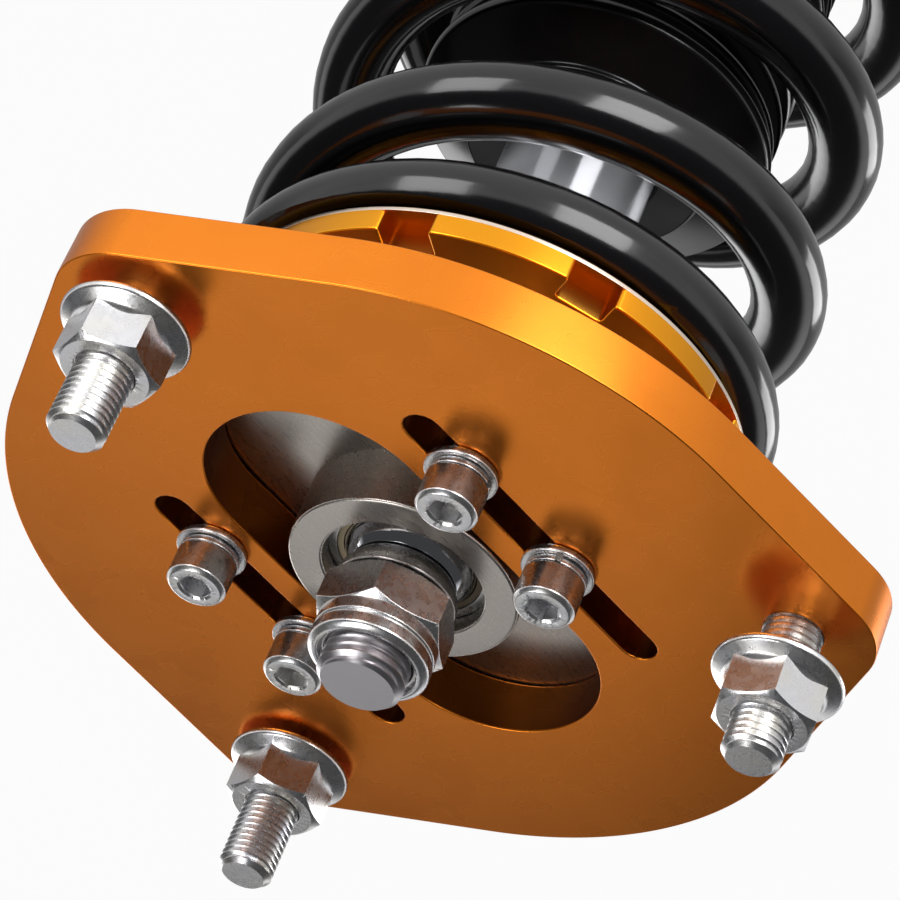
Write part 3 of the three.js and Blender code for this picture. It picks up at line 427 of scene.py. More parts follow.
class Wire:
    """A node's output that can be used in Python expressions on values."""

    def __init__(self, nodes, socket):
        self.nodes = nodes
        self.socket = socket

    def __add__(self, other):
        return self.nodes.math("ADD", self, other)

    def __mul__(self, other):
        return self.nodes.math("MULTIPLY", self, other)

    def __truediv__(self, other):
        return self.nodes.math("DIVIDE", self, other)

    def __rtruediv__(self, other):
        return self.nodes.math("DIVIDE", other, self)

    __radd__ = __add__
    __rmul__ = __mul__


class Nodes:
    """A node tree and ways to add nodes to it."""

    def __init__(self, tree):
        self.tree = tree

    def add(self, kind, settings=None, inputs=None, output=0):
        """A shader node: its settings are set first, then its sockets are filled or linked."""
        node = self.tree.nodes.new(f"ShaderNode{kind}")
        for key, value in (settings or {}).items():
            setattr(node, key, value)
        for key, value in (inputs or {}).items():
            self.feed(node.inputs[key], value)
        return Wire(self, node.outputs[output])

    def feed(self, socket, value):
        if isinstance(value, Wire):
            self.tree.links.new(value.socket, socket)
        else:
            socket.default_value = value

    def math(self, operation, first, second):
        return self.add("Math", {"operation": operation}, {0: first, 1: second})

    def ramp(self, value, *stops):
        """Value read between stops of (position, number), from 0 to 1."""
        wire = self.add("ValToRGB", None, {"Fac": value})
        ramp = wire.socket.node.color_ramp
        while len(ramp.elements) < len(stops):
            ramp.elements.new(0.5)
        for element, (position, number) in zip(ramp.elements, stops):
            element.position = position
            element.color = (number, number, number, 1)
        return wire

    def mix(self, share, first, second):
        """A blend of two colours."""
        return self.add("Mix", {"data_type": "RGBA"}, {0: share, 6: first, 7: second}, output=2)

    def mix_shaders(self, share, first, second):
        return self.add("MixShader", None, {0: share, 1: first, 2: second})

    def ray(self, kind):
        return self.add("LightPath", output=kind)

    def backdrop_share(self, mirrored):
        """1 for the camera's rays, mirrored for those metal and glass send, and 0 for the rest."""
        reflected = (self.ray("Is Glossy Ray") + self.ray("Is Transmission Ray")) * mirrored
        return self.math("MINIMUM", self.ray("Is Camera Ray") + reflected, 1.0)


class Finish(Nodes):
    """A new material's node tree, with its shader and its object coordinates."""

    def __init__(self, name):
        self.name = name
        self.material = bpy.data.materials.new(name)
        self.material.use_nodes = True
        super().__init__(self.material.node_tree)
        self.shader = self.tree.nodes["Principled BSDF"]
        self.place = self.add("TexCoord", output="Object")

    def set(self, **sockets):
        """Feeds the shader's sockets, their names written with underscores."""
        for name, value in sockets.items():
            self.feed(self.shader.inputs[name.replace("_", " ")], value)

    def height(self):
        """Height up the strut, in millimetres."""
        return self.add("SeparateXYZ", None, {0: self.place}, output="Z") / MM

    def radius(self):
        """Distance from the strut's axis, in millimetres."""
        level = self.add("VectorMath", {"operation": "MULTIPLY"}, {0: self.place, 1: (1, 1, 0)})
        return self.add("VectorMath", {"operation": "LENGTH"}, {0: level}, output="Value") / MM

    def between(self, value, low, high):
        """1 where value lies between low and high, and 0 elsewhere."""
        return self.math("GREATER_THAN", value, low) * self.math("LESS_THAN", value, high)

    def recolour(self, share, tone):
        """Blends the base colour that is already there with another."""
        present = Wire(self, self.shader.inputs["Base Color"].links[0].from_socket)
        self.set(Base_Color=self.mix(share, present, tone))

    def noise(self, size, detail=3.0, stretch=(1, 1, 1)):
        """Noise whose features are about size millimetres across, from 0 to 1."""
        place = self.place
        if stretch != (1, 1, 1):
            place = self.add("Mapping", None, {"Vector": place, "Scale": stretch})
        inputs = {"Vector": place, "Scale": 1 / (size * MM), "Detail": detail}
        return self.add("TexNoise", None, inputs)

    def bump(self, height, depth):
        """A bump of depth millimetres."""
        inputs = {"Height": height, "Distance": depth * MM, "Strength": 1.0}
        self.set(Normal=self.add("Bump", None, inputs))


def colour(red, green, blue):
    return (red, green, blue, 1.0)


def shade(tone, factor, lift=0.0):
    """A colour made darker or lighter."""
    return colour(*(min(1.0, factor * part + lift) for part in tone[:3]))


def anodised(name, deep, bright, roughness, grain):
    """Dyed, sealed aluminium, blasted to a fine even grain and smudged in places."""
    nodes = Finish(name)
    smudge = nodes.ramp(nodes.noise(9, 2.0), (0.3, 0.0), (0.8, 1.0))
    nodes.set(Base_Color=nodes.mix(nodes.noise(16), deep, bright), Metallic=1.0)
    nodes.set(Roughness=roughness + 0.04 * smudge)
    nodes.bump(nodes.noise(grain, 2.0), 0.005)
    return nodes


def plate_gold(plate):
    """The plate's gold, with painted shade darkening the walls of the window and the slots."""
    rim = 0.3
    reach = 42
    nodes = anodised("plate_gold", PLATE_DEEP, PLATE_BRIGHT, 0.26, 0.35)
    wall = nodes.between(nodes.height(), plate.bottom + rim, plate.top - rim)
    # Painted shade on the walls inside the window and the slots
    nodes.recolour(0.85 * (wall * nodes.between(nodes.radius(), 0, reach)), PLATE_WALL_SHADE)
    return nodes


def seat_gold(seat):
    """The seat's gold, with painted shade inside the notches and a painted highlight as a pale band round
    the flange's edge.
    """
    rim = 0.3
    highlight_band = 0.6
    nodes = anodised("seat_gold", RING_DEEP, RING_BRIGHT, 0.24, 0.5)
    height = nodes.height()
    flange_top = seat.top - SEAT_NOTCH_HEIGHT
    notch = nodes.between(height, flange_top, seat.top - rim)
    # Painted shade inside the notches
    nodes.recolour(0.85 * (notch * nodes.between(nodes.radius(), 0, seat.radius - rim)), NOTCH_SHADE)
    # A painted highlight: a pale band round the flange's outer edge
    nodes.recolour(0.85 * nodes.between(height, flange_top - highlight_band, flange_top), FLANGE_HIGHLIGHT)
    return nodes


def zinc():
    """Bright zinc plate: pale, a little blue and straw in places, finely scored."""
    nodes = Finish("bright_zinc")
    tint = nodes.ramp(nodes.noise(4.5, 2.0), (0.35, 0.0), (0.7, 1.0))
    scuff = nodes.ramp(nodes.noise(1.1, 5.0), (0.45, 0.0), (0.75, 1.0))
    nodes.set(Base_Color=nodes.mix(tint, colour(0.80, 0.80, 0.83), colour(0.82, 0.80, 0.76)))
    nodes.set(Metallic=1.0, Roughness=0.27 + 0.06 * scuff)
    nodes.bump(nodes.noise(0.35), 0.010)
    return nodes


def machined(name, tone, roughness, score):
    """Turned or ground steel, with tool marks drawn out round the part."""
    nodes = Finish(name)
    marks = nodes.noise(0.5, stretch=(0.15, 1, 1))
    nodes.set(Base_Color=nodes.mix(nodes.noise(14), tone, shade(tone, 0.86)), Metallic=1.0)
    nodes.set(Roughness=roughness + 0.08 * marks)
    nodes.bump(marks, score)
    return nodes


def chrome(name, roughness, grind):
    """Hard chrome with a film of oil; grinding round the part draws its gleams lengthwise."""
    nodes = Finish(name)
    film = nodes.ramp(nodes.noise(12), (0.5, 0.0), (0.8, 1.0))
    nodes.set(Base_Color=colour(0.68, 0.69, 0.73), Metallic=1.0, Roughness=roughness + 0.06 * film)
    nodes.set(Anisotropic=grind, Anisotropic_Rotation=0.25)
    nodes.bump(nodes.noise(0.25, 2.0, stretch=(1, 1, 4)), 0.001)
    return nodes


def powder_coat(name, tone, roughness, peel_size, peel_depth, coat):
    """Baked powder paint, with the soft ripple that it dries to and a little dust."""
    nodes = Finish(name)
    dust = nodes.ramp(nodes.noise(0.5), (0.66, 0.0), (0.8, 1.0))
    nodes.set(Base_Color=nodes.mix(0.5 * dust, tone, shade(tone, 1.0, 0.02)))
    nodes.set(Roughness=roughness + 0.12 * dust, Coat_Weight=coat, Coat_Roughness=0.05)
    nodes.bump(nodes.noise(peel_size, 2.0), peel_depth)
    return nodes


def moulded(name, tone, roughness, grain, depth):
    """Moulded rubber or plastic, with a fine grain and slightly uneven gloss."""
    nodes = Finish(name)
    cloud = nodes.noise(7)
    nodes.set(Base_Color=nodes.mix(cloud, tone, shade(tone, 1.25, 0.004)))
    nodes.set(Roughness=roughness + 0.12 * cloud, Specular_IOR_Level=0.5)
    nodes.bump(nodes.noise(grain), depth)
    return nodes


PLATE_DEEP = colour(0.86, 0.235, 0.022)
PLATE_BRIGHT = colour(0.94, 0.272, 0.027)
# Painted shade for the walls inside the plate's window and slots
PLATE_WALL_SHADE = colour(0.30, 0.085, 0.012)
RING_DEEP = colour(0.90, 0.34, 0.016)
RING_BRIGHT = colour(0.98, 0.41, 0.022)
# Painted shade for the inside of the seat's notches
NOTCH_SHADE = colour(0.40, 0.20, 0.035)
# A painted highlight for the band round the seat flange's outer edge
FLANGE_HIGHLIGHT = colour(0.86, 0.80, 0.72)
SEAT_NOTCH_HEIGHT = 3.4

# The record's material slots, each with the finishes that stand for it
SLOTS = {
    "anodised": [
        plate_gold(Extent("camber_plate")),
        anodised("ring_gold", RING_DEEP, RING_BRIGHT, 0.24, 0.5),
        seat_gold(Extent("spring_seat")),
    ],
    "zinc": [zinc(), machined("dark_zinc", colour(0.58, 0.56, 0.58), 0.26, 0.003)],
    "steel": [
        machined("carrier_steel", colour(0.66, 0.61, 0.56), 0.24, 0.004),
        machined("machined_steel", colour(0.60, 0.59, 0.58), 0.24, 0.005),
    ],
    "tube": [machined("tube_steel", colour(0.56, 0.56, 0.57), 0.22, 0.004)],
    "ball": [chrome("polished_ball", 0.05, 0.0)],
    "rod_chrome": [chrome("hard_chrome", 0.20, 1.0)],
    "spring_black": [powder_coat("spring_black", colour(0.004, 0.004, 0.005), 0.16, 3.0, 0.012, 0.25)],
    "bracket_black": [powder_coat("bracket_black", colour(0.015, 0.015, 0.017), 0.34, 1.2, 0.03, 0.1)],
    "boot_rubber": [moulded("boot_rubber", colour(0.005, 0.005, 0.006), 0.16, 0.6, 0.004)],
    "seal_rubber": [moulded("seal_rubber", colour(0.02, 0.02, 0.02), 0.45, 0.3, 0.01)],
    "foam": [moulded("foam", colour(0.72, 0.55, 0.25), 0.6, 0.25, 0.03)],
    "liner": [moulded("liner", colour(0.34, 0.27, 0.17), 0.5, 0.2, 0.02)],
    "nylon": [moulded("nylon", colour(0.10, 0.24, 0.58), 0.35, 0.4, 0.008)],
    "plastic_black": [moulded("plastic_black", colour(0.02, 0.02, 0.022), 0.35, 0.3, 0.01)],
}
LOOKS = {look.name: (look.material, slot) for slot, looks in SLOTS.items() for look in looks}


# ---- Camber plate, studs and flange nuts

PLATE_RADIUS = 57
LOBE_RADIUS = 11
STUD_CIRCLE = 54
STUD_ANGLES = (-60, 60, 180)
WINDOW_RADIUS = 16.5
WINDOW_END_OFFSET = 17
SLOT_END_OFFSET = 22.5
SLOT_ROW_OFFSET = 23.6
SLOT_HALF_WIDTH = 2.7
STUD_RADIUS = 4
STUD_PITCH = 1.0
STUD_HEAD_FLATS = 13
STUD_NUT_FLATS = 12.6
FLANGE_HEIGHT = 3.2
THREAD_CHAMFER = 0.9
OVERLAP = 0.5


def build_camber_plate():
    plate = Extent("camber_plate")
    spread = acos((PLATE_RADIUS - LOBE_RADIUS) / STUD_CIRCLE)
    holes = [long_hole(0, 0, WINDOW_END_OFFSET, WINDOW_RADIUS)]
    for row in (1, -1):
        holes.append(long_hole(0, row * SLOT_ROW_OFFSET, SLOT_END_OFFSET, SLOT_HALF_WIDTH))
    outline = []
    turns = [radians(angle) for angle in STUD_ANGLES]
    for turn, following in zip(turns, turns[1:] + [turns[0] + 2 * pi]):
        x, y = around(STUD_CIRCLE, turn)
        outline.append(arc(x, y, LOBE_RADIUS, turn - spread, turn + spread))
        outline.append(arc(0, 0, PLATE_RADIUS, turn + spread, following - spread))
        holes.append(round_hole(x, y, STUD_RADIUS + 0.1))
    piece = flat_piece(outline, holes, plate.bottom, plate.top, edge=0.2)
    finish(piece, "camber_plate", "finished", "top_mount", "plate_gold")


def build_stud(number):
    """A threaded stud whose six-sided head sits under the plate."""
    node = f"stud_{number}"
    stud = Extent(node)
    head_top = Extent("camber_plate").bottom - 0.02
    thread = threaded(STUD_RADIUS, STUD_PITCH, head_top - OVERLAP, stud.top, THREAD_CHAMFER)
    head = chamfered_hexagon(STUD_HEAD_FLATS, stud.bottom, head_top)
    piece = moved(joined([thread, head]), stud.place, radians(17 * number))
    finish(piece, node, "threaded", "top_mount", "bright_zinc")


def build_stud_nut(number, turn):
    """A flange nut: a dished flange that flows into the six-sided body."""
    node = f"stud_nut_{number}"
    nut = Extent(node)
    inside = STUD_RADIUS - 1
    face = STUD_NUT_FLATS / 2
    flange_top = nut.bottom + FLANGE_HEIGHT
    points = [
        (inside, nut.bottom),
        (nut.radius - 0.35, nut.bottom),
        (nut.radius, nut.bottom + 0.5),
        (nut.radius - 0.15, nut.bottom + 1.15),
        (face + 0.55, nut.bottom + 2.0),
        (face - 0.4, flange_top),
        (inside, flange_top),
    ]
    piece = chamfered_hexagon(STUD_NUT_FLATS, nut.bottom + 1, nut.top)
    piece = carve(piece, turned(points), "UNION")
    piece = carve(piece, bore_tool(STUD_RADIUS + 0.08, nut.bottom, nut.top))
    moved(piece, nut.place, radians(turn))
    finish(piece, node, "plated", "top_mount", "bright_zinc", bevel=0.3)


# ---- Bearing carrier and clamp screws

SCREWS = range(1, 5)
SLIDE_GAP = 0.3
RACE_GAP = 0.1
RACE_LIP = 3.0
SLAB_CORNER = 8
SCREW_RADIUS = 2.5
SCREW_HOLE_RADIUS = 2.55
WASHER_BORE = 2.7
SOCKET_FLATS = 4
SOCKET_DEPTH = 2.5
SPRING_WIDTH = 1.55
SPRUNG = 0.12


def build_slide_carrier():
    """The flat slide under the plate and the boss that stands in its window."""
    carrier = Extent("slide_carrier")
    race = Extent("bearing_race")
    slab_top = Extent("camber_plate").bottom - SLIDE_GAP
    reach = carrier.high.x
    side = carrier.high.y
    pocket = race.radius + RACE_GAP
    outline = round_cornered(-reach, reach, -side, side, SLAB_CORNER)
    holes = [round_hole(0, 0, pocket)]
    for number in SCREWS:
        holes.append(round_hole(*Extent(f"clamp_screw_{number}").place[:2], SCREW_HOLE_RADIUS))
    slab = flat_piece(outline, holes, carrier.bottom, slab_top)
    steps = [(WINDOW_RADIUS - SLIDE_GAP, carrier.top), (race.radius - RACE_LIP, race.top + RACE_GAP)]
    boss = turned(stepped(pocket, slab_top - 1, *steps), edge=0.45, steps=128)
    finish(joined([slab, boss]), "slide_carrier", "machined", "carrier", "carrier_steel")


def build_clamp_screw(number):
    """A socket cap screw with its flat washer and its split spring washer."""
    nodes = [f"{kind}_{number}" for kind in ("clamp_screw", "clamp_washer", "spring_washer")]
    screw, washer, spring = [Extent(node) for node in nodes]
    chamfer = 0.55
    steps = [(SCREW_RADIUS, spring.top + 0.1), (screw.radius, screw.top - chamfer)]
    points = stepped(0, screw.bottom, *steps)[:-1] + [(screw.radius - chamfer, screw.top), (0, screw.top)]
    piece = turned(points, edge=0.18, steps=72)
    past = screw.top + 1
    sink_bottom = screw.top - 0.3
    sink = turned([(0, sink_bottom), (2.2, sink_bottom), (3.6, past), (0, past)], edge=0)
    piece = carve(piece, hexagon(SOCKET_FLATS, screw.top - SOCKET_DEPTH, past))
    piece = carve(piece, sink)
    flat = ring(WASHER_BORE, washer.radius, washer.bottom, washer.top, edge=0.22)
    split = split_washer(WASHER_BORE, spring.bottom, spring.top)
    for made, node, turn, bevel in zip((piece, flat, split), nodes, (23, 0, 70), (0.12, 0, 0)):
        moved(made, screw.place, radians(turn * number))
        finish(made, node, "plated", "carrier", "bright_zinc", bevel)


def split_washer(inner, bottom, top):
    """A square-section ring cut through once, its cut ends sprung apart."""
    steps = 60
    bm = bmesh.new()
    outline = stepped(inner, bottom, (inner + SPRING_WIDTH, top - SPRUNG))
    section = bm.faces.new([bm.verts.new((x, 0, height)) for x, height in rounded(outline, 0.15)])
    swept(bm, [section], radians(348), steps, rise=SPRUNG / steps)
    return as_object(bm)


# ---- Spherical bearing and the stack on the rod's stub

STUB_RADIUS = 6
STUB_PITCH = 1.25
STUB_BORE = 6.1
BALL_RADIUS = 10.2
LINER_WALL = 0.8
STUB_TOE = 7.4
LOCK_NUT_TURN = -8
HEX_HEIGHT = 6.5


def sphere_points(radius, extent, centre, steps=12):
    """A (radius, height) arc of a ball, over an extent's height."""
    heights = (extent.bottom, extent.top)
    start, end = [asin(max(-1.0, min(1.0, (height - centre) / radius))) for height in heights]
    places = [around(radius, start + (end - start) * step / steps) for step in range(steps + 1)]
    return [(across, centre + rise) for across, rise in places]


def build_bearing():
    race = Extent("bearing_race")
    liner = Extent("bearing_liner")
    ball = Extent("bearing_ball")
    centre = race.middle.z
    liner_radius = BALL_RADIUS + 0.1
    hollow = sphere_points(BALL_RADIUS + 1.0, race, centre)
    piece = turned(hollow + [(race.radius, race.top), (race.radius, race.bottom)], edge=0.12)
    finish(piece, "bearing_race", "ground", "carrier", "machined_steel")
    inner = sphere_points(liner_radius, liner, centre)
    outer = sphere_points(liner_radius + LINER_WALL, liner, centre)
    piece = turned(outer + inner[::-1], edge=0)
    finish(piece, "bearing_liner", "woven", "bearing_cross", "liner")
    surface = sphere_points(BALL_RADIUS, ball, centre)
    piece = turned([(STUB_BORE, ball.bottom)] + surface + [(STUB_BORE, ball.top)], edge=0.1)
    finish(piece, "bearing_ball", "polished", "bearing_core", "polished_ball")


def build_retaining_ring():
    """An internal circlip with an eye for the pliers at each end."""
    clip = Extent("retaining_ring")
    outer = max(clip.radius, clip.high.y)
    half_gap = 4.2
    piece = ring(outer - 2.4, outer, clip.bottom, clip.top, edge=0.1)
    piece = carve(piece, block((0, -half_gap, clip.bottom - 1), (outer + 1, half_gap, clip.top + 1)))
    for way in (1, -1):
        eye = ring(0.9, 2.3, clip.bottom, clip.top, edge=0.1, steps=32)
        moved(eye, (outer - 3.6, way * (half_gap + 1.4), 0))
        piece = carve(piece, eye, "UNION")
    finish(piece, "retaining_ring", "sprung", "carrier", "machined_steel")


def build_spacers():
    """The sleeves above and below the ball, each with a narrow toe against it."""
    upper = Extent("upper_spacer")
    lower = Extent("lower_spacer")
    rim = upper.radius - 0.6
    outsides = {
        "upper_spacer": [(STUB_TOE, upper.bottom), (rim, upper.top - 1.3), (rim, upper.top)],
        "lower_spacer": [(lower.radius, lower.bottom), (lower.radius, lower.top - 4), (STUB_TOE, lower.top)],
    }
    for node, outside in outsides.items():
        points = [(STUB_BORE, outside[0][1]), *outside, (STUB_BORE, outside[-1][1])]
        finish(turned(points, edge=0.25), node, "turned", "rod_stack", "machined_steel")


def build_lock_nut():
    """A six-sided nut with a round collar rolled over its nylon insert."""
    nut = Extent("rod_lock_nut")
    collar = nut.radius - 0.05
    hex_top = nut.bottom + HEX_HEIGHT
    insert_top = nut.top - 0.9
    body = chamfered_hexagon(2 * nut.radius, nut.bottom, hex_top, both_ends=True)
    body = carve(body, ring(0, STUB_BORE, 0, nut.top, edge=0))
    points = [
        (STUB_BORE, hex_top - 0.8),
        (collar, hex_top - 0.8),
        (collar, hex_top + 1.6),
        (collar - 0.3, hex_top + 1.8),
        (collar - 0.3, hex_top + 2.0),
        (collar, hex_top + 2.2),
        (collar, nut.top - 0.6),
        (collar - 0.9, nut.top),
        (6.9, nut.top),
        (6.7, insert_top),
        (STUB_BORE, insert_top),
    ]
    moved(body, turn=radians(LOCK_NUT_TURN))
    finish(body, "rod_lock_nut", "plated", "rod_stack", "bright_zinc", bevel=0.3)
    finish(turned(points), "rod_lock_nut", "collar", "rod_stack", "bright_zinc", replaces=False)


# ---- Spring seat, spring, rod, bump stop and boot

SEAT_NOTCHES = 9
SEAT_NOTCH_ANGLE = 152.5
SEAT_NOTCH_DEPTH = 4.7
SEAT_CHAMFER = 1
SEAT_HUB_RADIUS = 16
NOTCH_WIDTH = 7
PILOT_RADIUS = 29.3
PILOT_HEIGHT = 6
PILOT_WALL = 3


def build_spring_seat():
    """A castellated disc over a thin flange, with a pilot under it for the spring."""
    seat = Extent("spring_seat")
    disc_bottom = seat.bottom + PILOT_HEIGHT
    flange_top = seat.top - SEAT_NOTCH_HEIGHT
    under = [
        (SEAT_HUB_RADIUS, disc_bottom),
        (PILOT_RADIUS - PILOT_WALL, seat.bottom),
        (PILOT_RADIUS, disc_bottom),
    ]
    points = stepped(STUB_BORE, disc_bottom - 2, *under)[:-1] + [
        (seat.radius - SEAT_CHAMFER, disc_bottom),
        (seat.radius, disc_bottom + SEAT_CHAMFER),
        (seat.radius, flange_top),
        (STUB_BORE, flange_top),
    ]
    flange = turned(points, edge=0.06, steps=180)
    floor = seat.radius - SEAT_NOTCH_DEPTH
    outline = castellated(seat.radius, floor, NOTCH_WIDTH, SEAT_NOTCHES, SEAT_NOTCH_ANGLE)
    crown = flat_piece(outline, [round_hole(0, 0, STUB_BORE)], flange_top, seat.top, edge=0.3, foot=False)
    finish(joined([flange, crown]), "spring_seat", "anodised", "rod_stack", "seat_gold")


STROKE = next(joint["range_m"][1] for joint in frame["joints"] if joint["name"] == "damper_stroke") / MM
ROD_RADIUS = 11
ROD_BORE = ROD_RADIUS + 0.1
ROD_SHOULDER_DROP = 7.3
WIRE_RADIUS = 5.4
COIL_RADIUS = 35.4
COIL_TURNS = 7
COIL_PITCH = 30.5
CLOSED_PITCH = 9
CLOSED_TURNS = 0.58
OPENED_TURNS = 1.13
COIL_TIP_ANGLE = 265
TIP_GRIND = 0.5


def shorten(piece, extent):
    """Gives a piece a mesh of its own, and works out the share of an extent's length that the damper's
    stroke leaves.
    """
    keep = 1 - STROKE / (extent.top - extent.bottom)
    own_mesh(piece)


def end_drop(turns):
    """How far the wire has dropped along the spring, some turns after its tip."""
    ramp = OPENED_TURNS - CLOSED_TURNS
    opened = 0.0
    if turns >= OPENED_TURNS:
        opened = turns - CLOSED_TURNS - ramp / 2
    elif turns > CLOSED_TURNS:
        opened = (turns - CLOSED_TURNS) ** 2 / (2 * ramp)
    return CLOSED_PITCH * turns + (COIL_PITCH - CLOSED_PITCH) * opened


def build_coil_spring():
    """One wire wound right-handed, its end coils closed and ground flat."""
    spring = Extent("coil_spring")
    length = 2 * end_drop(COIL_TURNS / 2)
    steps = COIL_TURNS * 72
    path = []
    for step in range(steps + 1):
        turns = COIL_TURNS * step / steps
        upper = turns <= COIL_TURNS / 2
        drop = end_drop(turns) if upper else length - end_drop(COIL_TURNS - turns)
        x, y = around(COIL_RADIUS, radians(COIL_TIP_ANGLE) - 2 * pi * turns)
        path.append(Vector((x, y, spring.top - TIP_GRIND - drop)))
    bm = bmesh.new()
    rings = []
    for index, point in enumerate(path):
        ahead = path[min(index + 1, steps)] - path[max(index - 1, 0)]
        outward = Vector((point.x, point.y, 0)).normalized()
        upward = ahead.normalized().cross(outward)
        circle = bmesh.ops.create_circle(bm, segments=24, radius=WIRE_RADIUS)["verts"]
        turn = Matrix((outward, upward, ahead.normalized())).transposed()
        bmesh.ops.rotate(bm, cent=(0, 0, 0), matrix=turn, verts=circle)
        bmesh.ops.translate(bm, vec=point, verts=circle)
        rings.append(list({edge for vert in circle for edge in vert.link_edges}))
    for first, second in zip(rings, rings[1:]):
        bmesh.ops.bridge_loops(bm, edges=first + second)
    for end in (rings[0], rings[-1]):
        bmesh.ops.edgeloop_fill(bm, edges=end)
    cut_flat(bm, spring.bottom, spring.top)
    piece = as_object(bm)
    finish(piece, "coil_spring", "painted", "perch_slider", "spring_black")
    shorten(piece, spring)


def build_piston_rod():
    """Chromed shaft with a threaded stub at each end."""
    rod = Extent("piston_rod")
    shoulder = Extent("spring_seat").top - ROD_SHOULDER_DROP
    lower_shoulder = Extent("rebound_shims").top + 0.3
    shaft = ring(0, ROD_RADIUS, lower_shoulder, shoulder, edge=0.6, steps=128)
    stub = threaded(STUB_RADIUS, STUB_PITCH, shoulder - 1, rod.top, THREAD_CHAMFER, steps=64)
    tail = threaded(STUB_RADIUS, STUB_PITCH, rod.bottom, lower_shoulder + 1, THREAD_CHAMFER)
    finish(shaft, "piston_rod", "chromed", "rod_stack", "hard_chrome")
    finish(joined([stub, tail]), "piston_rod", "threads", "rod_stack", "dark_zinc", replaces=False)


BUMP_STOP_BEADS = 3
BUMP_STOP_GROOVE = 2


def build_bump_stop():
    stop = Extent("bump_stop")
    bead = (stop.top - stop.bottom) / BUMP_STOP_BEADS
    valley = stop.radius - BUMP_STOP_GROOVE
    points = [(ROD_BORE, stop.bottom)]
    for index in range(BUMP_STOP_BEADS):
        bottom = stop.bottom + index * bead
        points += [(valley, bottom), (stop.radius, bottom + 0.3 * bead), (stop.radius, bottom + 0.7 * bead)]
    points += [(valley, stop.top), (ROD_BORE, stop.top)]
    finish(turned(points, edge=1.2), "bump_stop", "foam", "rod_stack", "foam")


# The boot's wall, radii and heights
BOOT_WALL = 1.2
BOOT_NECK = 18
BOOT_NECK_HEIGHT = 1
BOOT_SHOULDER_HEIGHT = 3.7
BOOT_COLLAR = 26.4
BOOT_COLLAR_HEIGHT = 2.2
BOOT_PLEAT = 25.8
BOOT_VALLEY = 22.8
BOOT_PLEAT_PITCH = 4.5
BOOT_CUFF_BORE = 18.1
BOOT_CUFF = 21.0
BOOT_CUFF_HEIGHT = 6


def build_dust_boot():
    """A short neck on the rod, a sloped shoulder, a narrow rim, pleats and a cuff on the gland."""
    boot = Extent("dust_boot")
    neck_bottom = boot.top - BOOT_NECK_HEIGHT
    collar_top = neck_bottom - BOOT_SHOULDER_HEIGHT
    collar_bottom = collar_top - BOOT_COLLAR_HEIGHT
    cuff_top = boot.bottom + BOOT_CUFF_HEIGHT
    pleats = round((collar_bottom - cuff_top) / BOOT_PLEAT_PITCH)
    pitch = (collar_bottom - cuff_top) / pleats
    points = [(ROD_BORE, boot.top), (BOOT_NECK, boot.top), (BOOT_NECK, neck_bottom)]
    points += [(BOOT_COLLAR - 0.3, collar_top), (BOOT_COLLAR, collar_top - 0.8)]
    points.append((BOOT_COLLAR, collar_bottom))
    for index in range(pleats):
        valley = collar_bottom - (index + 0.1) * pitch
        points += [(BOOT_VALLEY, valley), (BOOT_PLEAT - 0.2, valley - 0.35 * pitch)]
        points.append((BOOT_PLEAT, valley - 0.6 * pitch))
    points += [(BOOT_VALLEY, cuff_top), (BOOT_CUFF, cuff_top - 0.5), (BOOT_CUFF, boot.bottom)]
    points += [(BOOT_CUFF_BORE, boot.bottom), (BOOT_CUFF_BORE, cuff_top)]
    points += [
        (BOOT_VALLEY - BOOT_WALL, cuff_top + BOOT_WALL),
        (BOOT_VALLEY - BOOT_WALL, collar_bottom),
        (BOOT_COLLAR - BOOT_WALL, collar_top - BOOT_WALL),
        (BOOT_NECK - BOOT_WALL, neck_bottom - BOOT_WALL),
        (ROD_BORE, neck_bottom - BOOT_WALL),
    ]
    piece = turned(points, edge=0.7, steps=128)
    finish(piece, "dust_boot", "moulded", "rod_stack", "boot_rubber")
    shorten(piece, boot)


# ---- Damper body, perch and bracket

BODY_PITCH = 2.0
BODY_WALL = 2
BODY_THREAD_DEPTH = 1.15
GLAND_THREAD = 22.7
GLAND_NECK = 18
GLAND_NECK_HEIGHT = 9
GLAND_FLANGE_HEIGHT = 5
PIN_HOLE_RADIUS = 1.6
PIN_HOLE_DEPTH = 3
PIN_CIRCLE = 22.9


def build_damper_tube():
    tube = Extent("damper_tube")
    thread = threaded(tube.radius, BODY_PITCH, tube.bottom, tube.top, chamfer=1.2, hollow=True, steps=96)
    root = tube.radius - BODY_THREAD_DEPTH
    lining = ring(tube.radius - BODY_WALL, root, tube.bottom, tube.top, edge=0.2)
    finish(joined([thread, lining]), "damper_tube", "threaded", "damper_body", "tube_steel")


def build_gland_nut():
    """The body's cap, with four holes for a pin spanner and a neck for the boot's cuff."""
    gland = Extent("gland_nut")
    neck_bottom = gland.top - GLAND_NECK_HEIGHT
    steps = [
        (GLAND_THREAD, neck_bottom - GLAND_FLANGE_HEIGHT),
        (gland.radius, neck_bottom),
        (GLAND_NECK, gland.top),
    ]
    piece = turned(stepped(ROD_BORE, gland.bottom, *steps), edge=0.5)
    for quarter in range(4):
        hole = ring(0, PIN_HOLE_RADIUS, neck_bottom - PIN_HOLE_DEPTH, neck_bottom + 1, edge=0, steps=24)
        moved(hole, (*around(PIN_CIRCLE, quarter * pi / 2 + pi / 4), 0))
        piece = carve(piece, hole)
    finish(piece, "gland_nut", "painted", "damper_body", "bracket_black")


COLLAR_BORE = 25.1
COLLAR_NOTCHES = 8
COLLAR_NOTCH_DEPTH = 4.5
PERCH_FLANGE_HEIGHT = 4


def notched_collar(radius, bottom, top):
    """A ring with notches for a C spanner, right through its height."""
    outline = castellated(radius, radius - COLLAR_NOTCH_DEPTH, NOTCH_WIDTH, COLLAR_NOTCHES, 0)
    return flat_piece(outline, [round_hole(0, 0, COLLAR_BORE)], bottom, top)


